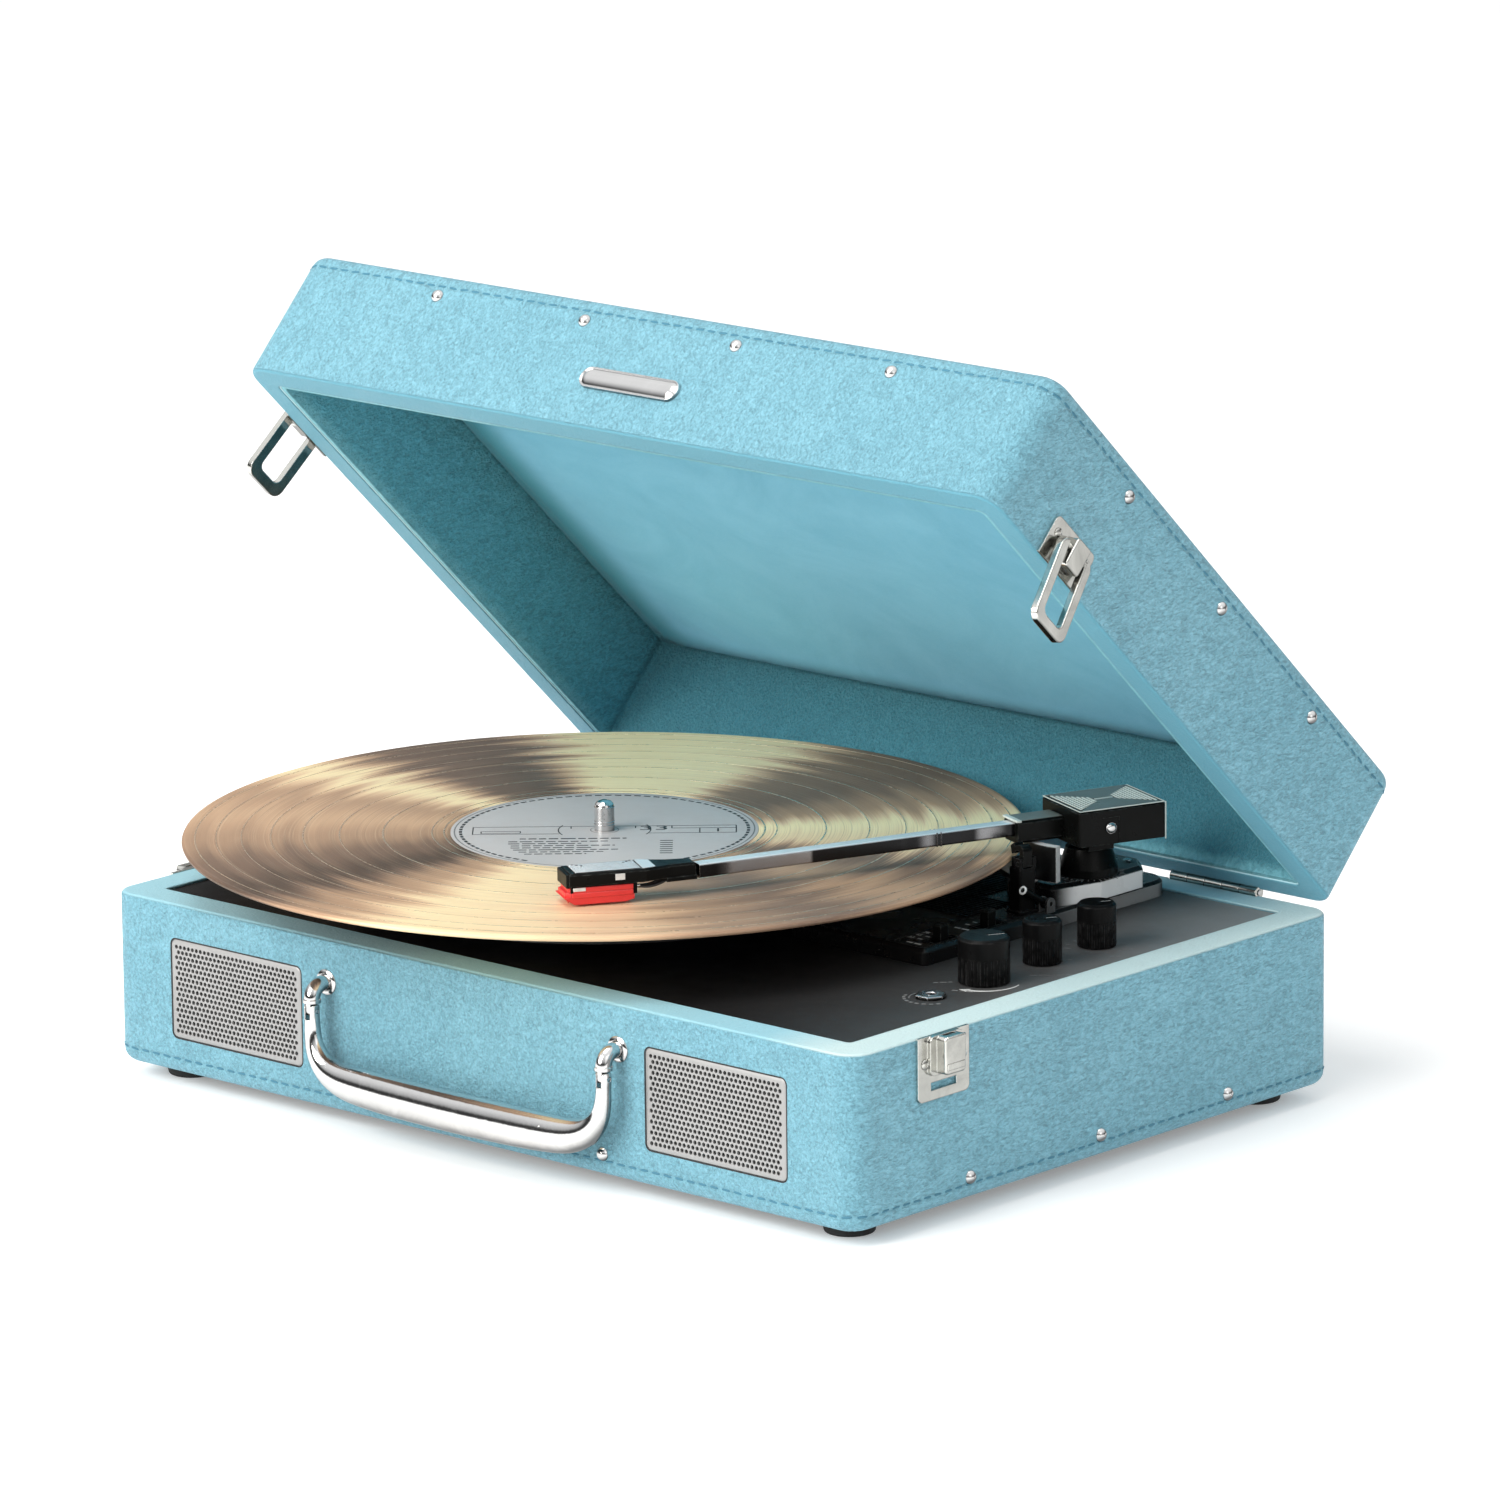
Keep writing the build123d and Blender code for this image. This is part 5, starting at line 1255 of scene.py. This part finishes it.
# lip at the end of the sleeve, pale as a painted highlight, and a pale cap on its top
part = Shape()
part.box(29.6, 31.6, -5.5, 5.5, 98.9, 99.75, ARM)
part.make("sleeve_lip", "highlight_grey", "tonearm", "black_gloss", bevel=0.2)
part = Shape()
part.box(13.2, 29.4, -4.9, 4.9, 99.3, 99.56, ARM)
part.make("sleeve_cap", "housing_grey", "tonearm", "black_gloss", bevel=0.12)
part = Shape()
for x in (60.0, 61.6):
    part.box(x, x + 0.5, -2.86, 2.86, 93.4, 98.6, ARM)
part.make("tube_rings", "arm_silver", "tonearm", bevel=0.1)

# ---------------------------------------------------------------- headshell and cartridge
# Frame of the head: X runs forward from the end of the tube.
part = Shape()
for k in range(7):
    y = -4.8 + k * 1.6
    part.box(21.5, 45.0, y - 0.6, y + 0.6, 99.5, 99.85, HEAD)
part.prism([(16.0, -5.2), (21.0, -6.4), (21.0, 6.4), (16.0, 5.2)], 99.5, 99.85, HEAD)
part.make("headshell_inlay", "arm_silver", "tonearm", bevel=0.12)

HEAD_DOTS = [(22.6, -5.2), (24.0, -4.2), (25.4, -3.2), (43.4, -5.0), (42.0, -4.0), (40.6, -3.0)]
part = Shape()
for x, y in HEAD_DOTS:
    part.lathe([(0.42, 99.98), (0.42, 99.8)], HEAD @ move(x, y, 0), n=12)
part.make("headshell_dots", "dark_print", "tonearm", "black_gloss")

part = Shape()
part.box(27.6, 31.0, 7.05, 7.3, 96.4, 98.6, HEAD)
part.make("headshell_side_mark", "white_print", "tonearm", "black_gloss")

part = Shape()
part.prism([(47.2, -6.6), (48.4, -6.2), (48.4, 6.2), (47.2, 6.6)], 94.4, 99.3, HEAD)
part.prism([(0.6, -3.9), (12.0, -5.2), (12.0, 5.2), (0.6, 3.9)], 93.6, 95.2, HEAD)
part.make("headshell_lips", "black_gloss", "tonearm", bevel=0.25)

PINS = [(-3.6, 92.8), (-1.2, 92.0), (1.2, 92.2), (3.6, 93.0)]    # y, z
wires, pins = Shape(), Shape()
for k, (y, z) in enumerate(PINS):    # each wire sags a little more than the last
    points = []
    for i in range(13):
        t = i / 12
        sag = math.sin(t * math.pi) * (-0.9 - 0.2 * k)
        points.append((23.2 - 13.5 * t, y * (1 - 0.35 * t), z + (94.6 - z) * t + sag))
    wires.tube(points, 0.48, 8, HEAD)
    pins.lathe([(0.55, 0), (0.62, 0.3), (0.62, 2.0), (0.5, 2.2)],
               HEAD @ move(21.2, y, z) @ turn(90, "Y"), n=12)
wires.make("cartridge_wires", "wire_black", "tonearm", "black_gloss", smooth=80)
pins.make("cartridge_pins", "chrome", "tonearm", "arm_silver", smooth=40)

STYLUS_STEPS = [    # half width, end of the sides, front, bottom, top
    (6.55, 46.2, 48.6, 90.7, 92.6),
    (6.45, 45.6, 47.6, 92.6, 94.5),
]
part = Shape()
for half, side_end, front, low, high in STYLUS_STEPS:
    part.prism([(24.4, -half), (side_end, -half), (front, -4.8), (front, 4.8),
                (side_end, half), (24.4, half)], low, high, HEAD)
part.make("stylus_lip", "red_stylus", "tonearm", bevel=0.25)
part = Shape()
part.box(41.6, 46.0, 5.9, 6.62, 93.2, 94.45, HEAD)
part.make("stylus_flash", "white_print", "tonearm", "red_stylus", bevel=0.1)

# white ring on the end of the cue lever
lever_tip, lever_root = Vector((112.55, 36.2, 77.6)), Vector((112.55, 48, 71))
lever_dir = (lever_tip - lever_root).normalized()
part = Shape()
part.lathe([(1.62, -0.25), (1.62, 0.05), (1.45, 0.18), (0.98, 0.18), (0.86, 0.0), (0.86, -0.4)],
           move(*(lever_tip + lever_dir)) @ lever_dir.to_track_quat("Z", "Y").to_matrix().to_4x4(),
           n=24, cap=False)
part.make("cue_ring", "white_print", "cue_lever", "black_gloss", smooth=50)


# ---------------------------------------------------------------- metalwork details
def latch_screws(name, body, m, reach, z, r, h):
    """Two screws on each side, reach in front of and behind the latch."""
    part = Shape()
    for side in (1, -1):
        for dy in (-reach, reach):
            spot = move(side * (HALF_X + 1.1), LATCH_Y + dy, z)
            part.screw(m @ spot @ turn(90 * side, "Y"), r, h)
    part.make(name, "nickel", body, smooth=35)


def hinge_screws(name, body, m, z):
    part = Shape()
    for side in (-1, 1):
        for x in (109, 137):
            part.screw(m @ move(side * x, HALF_Y + 1.2, z) @ BACKWARD, 1.9, 0.7)
    part.make(name, "nickel", body, smooth=35)


latch_screws("catch_screws", "root", ID, reach=9.6, z=53.5, r=2.0, h=0.8)
latch_screws("latch_plate_screws", "lid", OPEN, reach=9.2, z=LID_Z + 10.6, r=1.8, h=0.7)

part = Shape()
for side in (-1, 1):    # a rolled top edge and a bar lower down on each catch block
    x = side * (HALF_X + 6.75)
    part.tube([(x, LATCH_Y - 4.6, 62.6), (x, LATCH_Y + 4.6, 62.6)], 0.45, 8)
    part.box(x - 0.2, x + 0.2, LATCH_Y - 4.4, LATCH_Y + 4.4, 51.0, 53.4)
part.make("catch_lips", "nickel", "root", bevel=0.12)

hinge_screws("base_hinge_screws", "root", ID, z=50.5)
hinge_screws("lid_hinge_screws", "lid", OPEN, z=77.5)

# rosettes where the handle posts enter the case
part = Shape()
for side in (-1, 1):
    part.lathe([(4.7, 0.0), (4.7, 0.35), (4.2, 0.8), (3.3, 1.0), (2.95, 0.8)],
               move(side * 69.9, -HALF_Y, 47.2) @ FORWARD, n=40, cap=False)
part.make("handle_rosettes", "chrome", "root", smooth=40)


def badge_bar():
    """Blank round-ended bar on the lid's front, domed inside a thin raised rim."""
    half_w, half_h, loops, n = 23.0, 4.28, 15, 48
    rim_insets, rim_heights = (0.0, 0.15, 0.55, 0.8), (0.0, 1.25, 1.35)
    rings = []
    for k in range(loops):
        inset = rim_insets[k] if k < 4 else 0.8 + 3.35 * (k - 3) / 11.0
        dome = math.sin(math.pi / 2 * min(1.0, (k - 3) / 9.0))
        height = rim_heights[k] if k < 3 else 0.95 + 0.95 * dome
        w, r = half_w - inset, half_h - inset
        ring = []
        for i in range(n):
            a = math.pi * 2 * (i + 0.5) / n
            end = math.copysign(w - r, math.cos(a))
            ring.append((end + r * math.cos(a), r * math.sin(a), height))
        rings.append(ring)
    part = Shape()
    part.stack(rings, OPEN @ move(0, -HALF_Y - 0.02, LID_Z + 19.4) @ FORWARD, capped=False)
    part.faces += [tuple(range((loops - 1) * n, loops * n)), tuple(reversed(range(n)))]
    part.make("badge_bar", "chrome", "lid", smooth=40, replaces=("lid_badge",))


badge_bar()

# rings, inserts and plain marks round the sockets at the back
SOCKETS = [(-44.0, 4.6), (-96.0, 4.3), (-80.0, 4.3)]    # x, radius
SOCKET_Z = 30
part = Shape()
for x, r in SOCKETS:
    part.lathe([(r + 1.5, 0.0), (r + 1.4, 0.3), (r + 0.5, 0.35), (r + 0.25, 0.05)],
               move(x, HALF_Y - 0.05, SOCKET_Z) @ BACKWARD, n=32, cap=False)
part.make("socket_rings", "steel", "root", smooth=40)
for letter, x, mat in (("a", -96.0, "white_print"), ("b", -80.0, "red_stylus")):
    part = Shape()
    part.lathe([(3.9, 7.56), (3.9, 7.62), (1.7, 7.62), (1.7, 7.56)],
               move(x, HALF_Y - 0.05, SOCKET_Z) @ BACKWARD, n=32, cap=False)
    part.make("phono_insert_" + letter, mat, "root", "speaker_black", smooth=40)
part = Shape()
for x, width in ((-96.0, 6.0), (-80.0, 6.0), (-44.0, 9.0)):
    part.box(x - width / 2, x + width / 2, HALF_Y - 0.06, HALF_Y, 38.2, 39.2)
part.make("socket_marks", "white_print", "root", "black_gloss")

part = Shape()
for side in (-1, 1):
    for end in (-1, 1):
        for z in (-1.5, -3.0):
            part.lathe([(9.55, z + 0.25), (10.0 + 0.2 * z, z), (9.3, z - 0.25)],
                       move(side * 158, end * 109, 0), n=40, cap=False)
part.make("foot_ribs", "black_rubber", "root", smooth=40)


# ---------------------------------------------------------------- stage, light, camera, m
def floor():
    half, z = 12, -0.0055
    m = Mat("floor_paper")
    m.bump(m.noise(scale=300, detail=3, rough=0.6), distance=0.00005, strength=0.3)
    m.set(Base_Color=m.mix(m.noise(scale=3, detail=2, rough=0.5), grey(0.90), grey(0.93)),
          Roughness=0.85, Specular_IOR_Level=0.2, Emission_Color=grey(1.0),
          Emission_Strength=0.22)
    mesh = bpy.data.meshes.new("floor")
    corners = [(-half, -half, z), (half, -half, z), (half, half, z), (-half, half, z)]
    mesh.from_pydata(corners, [], [(0, 1, 2, 3)])
    mesh.materials.append(MATS["floor_paper"])
    new_object("floor", mesh)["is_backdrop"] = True


def area(name, place, target, size, power, colour):
    light = bpy.data.lights.new(name, "AREA")
    light.energy, light.color, light.shape = power, colour, "RECTANGLE"
    light.size = light.size_y = size
    obj = new_object(name, light)
    obj.location = place
    obj.rotation_mode = "QUATERNION"
    obj.rotation_quaternion = (Vector(target) - Vector(place)).to_track_quat("-Z", "Y")
    obj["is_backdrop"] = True


def studio():
    """White to the camera, banded by height in reflections, plain soft light otherwise."""
    world = bpy.data.worlds.new("studio")
    bpy.context.scene.world = world
    world.use_nodes = True
    tree = Nodes(world.node_tree)

    def background(colour, strength):
        return tree.node("ShaderNodeBackground", {0: colour, 1: strength}).outputs[0]

    def choose(factor, shader_no, shader_yes):
        inputs = {0: factor, 1: shader_no, 2: shader_yes}
        return tree.node("ShaderNodeMixShader", inputs).outputs[0]

    direction = tree.node("ShaderNodeTexCoord").outputs["Generated"]
    up = tree.node("ShaderNodeSeparateXYZ", {0: direction}).outputs[2]
    height = tree.node("ShaderNodeMapRange", {0: up, 1: -1.0, 2: 1.0}).outputs[0]
    # height from straight down to straight up, brightness
    levels = [(0.0, 0.5), (0.49, 0.45), (0.53, 0.04), (0.60, 0.06), (0.66, 0.5), (0.78, 0.9),
              (1.0, 1.2)]
    bands = tree.ramp(height, [(position, grey(value)) for position, value in levels])
    ray = tree.node("ShaderNodeLightPath").outputs
    light = choose(ray["Is Glossy Ray"], background(grey(1.0), strength=0.74),
                   background(bands, strength=1.0))
    seen = choose(ray["Is Camera Ray"], light, background(grey(1.0), strength=1.0))
    tree.node("ShaderNodeOutputWorld", {0: seen})


def camera():
    """Looks from the front right, a little from above."""
    right = (0.7430370245622682, 0.6691773419723736, -0.009882566490566859)
    up = (-0.1501700690072062, 0.18109863918739316, 0.9719322163910638)
    back = (0.6521847364850103, -0.7206975564515697, 0.23505340163612648)
    data = bpy.data.cameras.new("camera")
    data.sensor_width = 36.0
    data.lens = 243.6
    data.clip_start, data.clip_end = 0.05, 60.0
    obj = new_object("camera", data)
    pose = Matrix((right, up, back)).transposed().to_4x4()
    pose.translation = (2.3620916050, -2.5927738205, 0.9661639454)
    obj.matrix_world = pose
    bpy.context.scene.camera = obj


floor()
area("key", (-0.55, -2.15, 1.30), target=(0.0, 0.0, 0.10), size=1.5, power=58.0,
     colour=(1.0, 0.975, 0.935))
area("fill", (2.3, -0.8, 1.0), target=(0.0, 0.0, 0.1), size=1.4, power=5.0,
     colour=(1.0, 0.99, 0.97))
area("top", (0.0, -0.55, 2.1), target=(0.0, -0.05, 0.08), size=1.1, power=17.0,
     colour=(1.0, 0.98, 0.95))
studio()
bpy.context.scene.view_settings.view_transform = "Standard"
camera()

low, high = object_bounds()
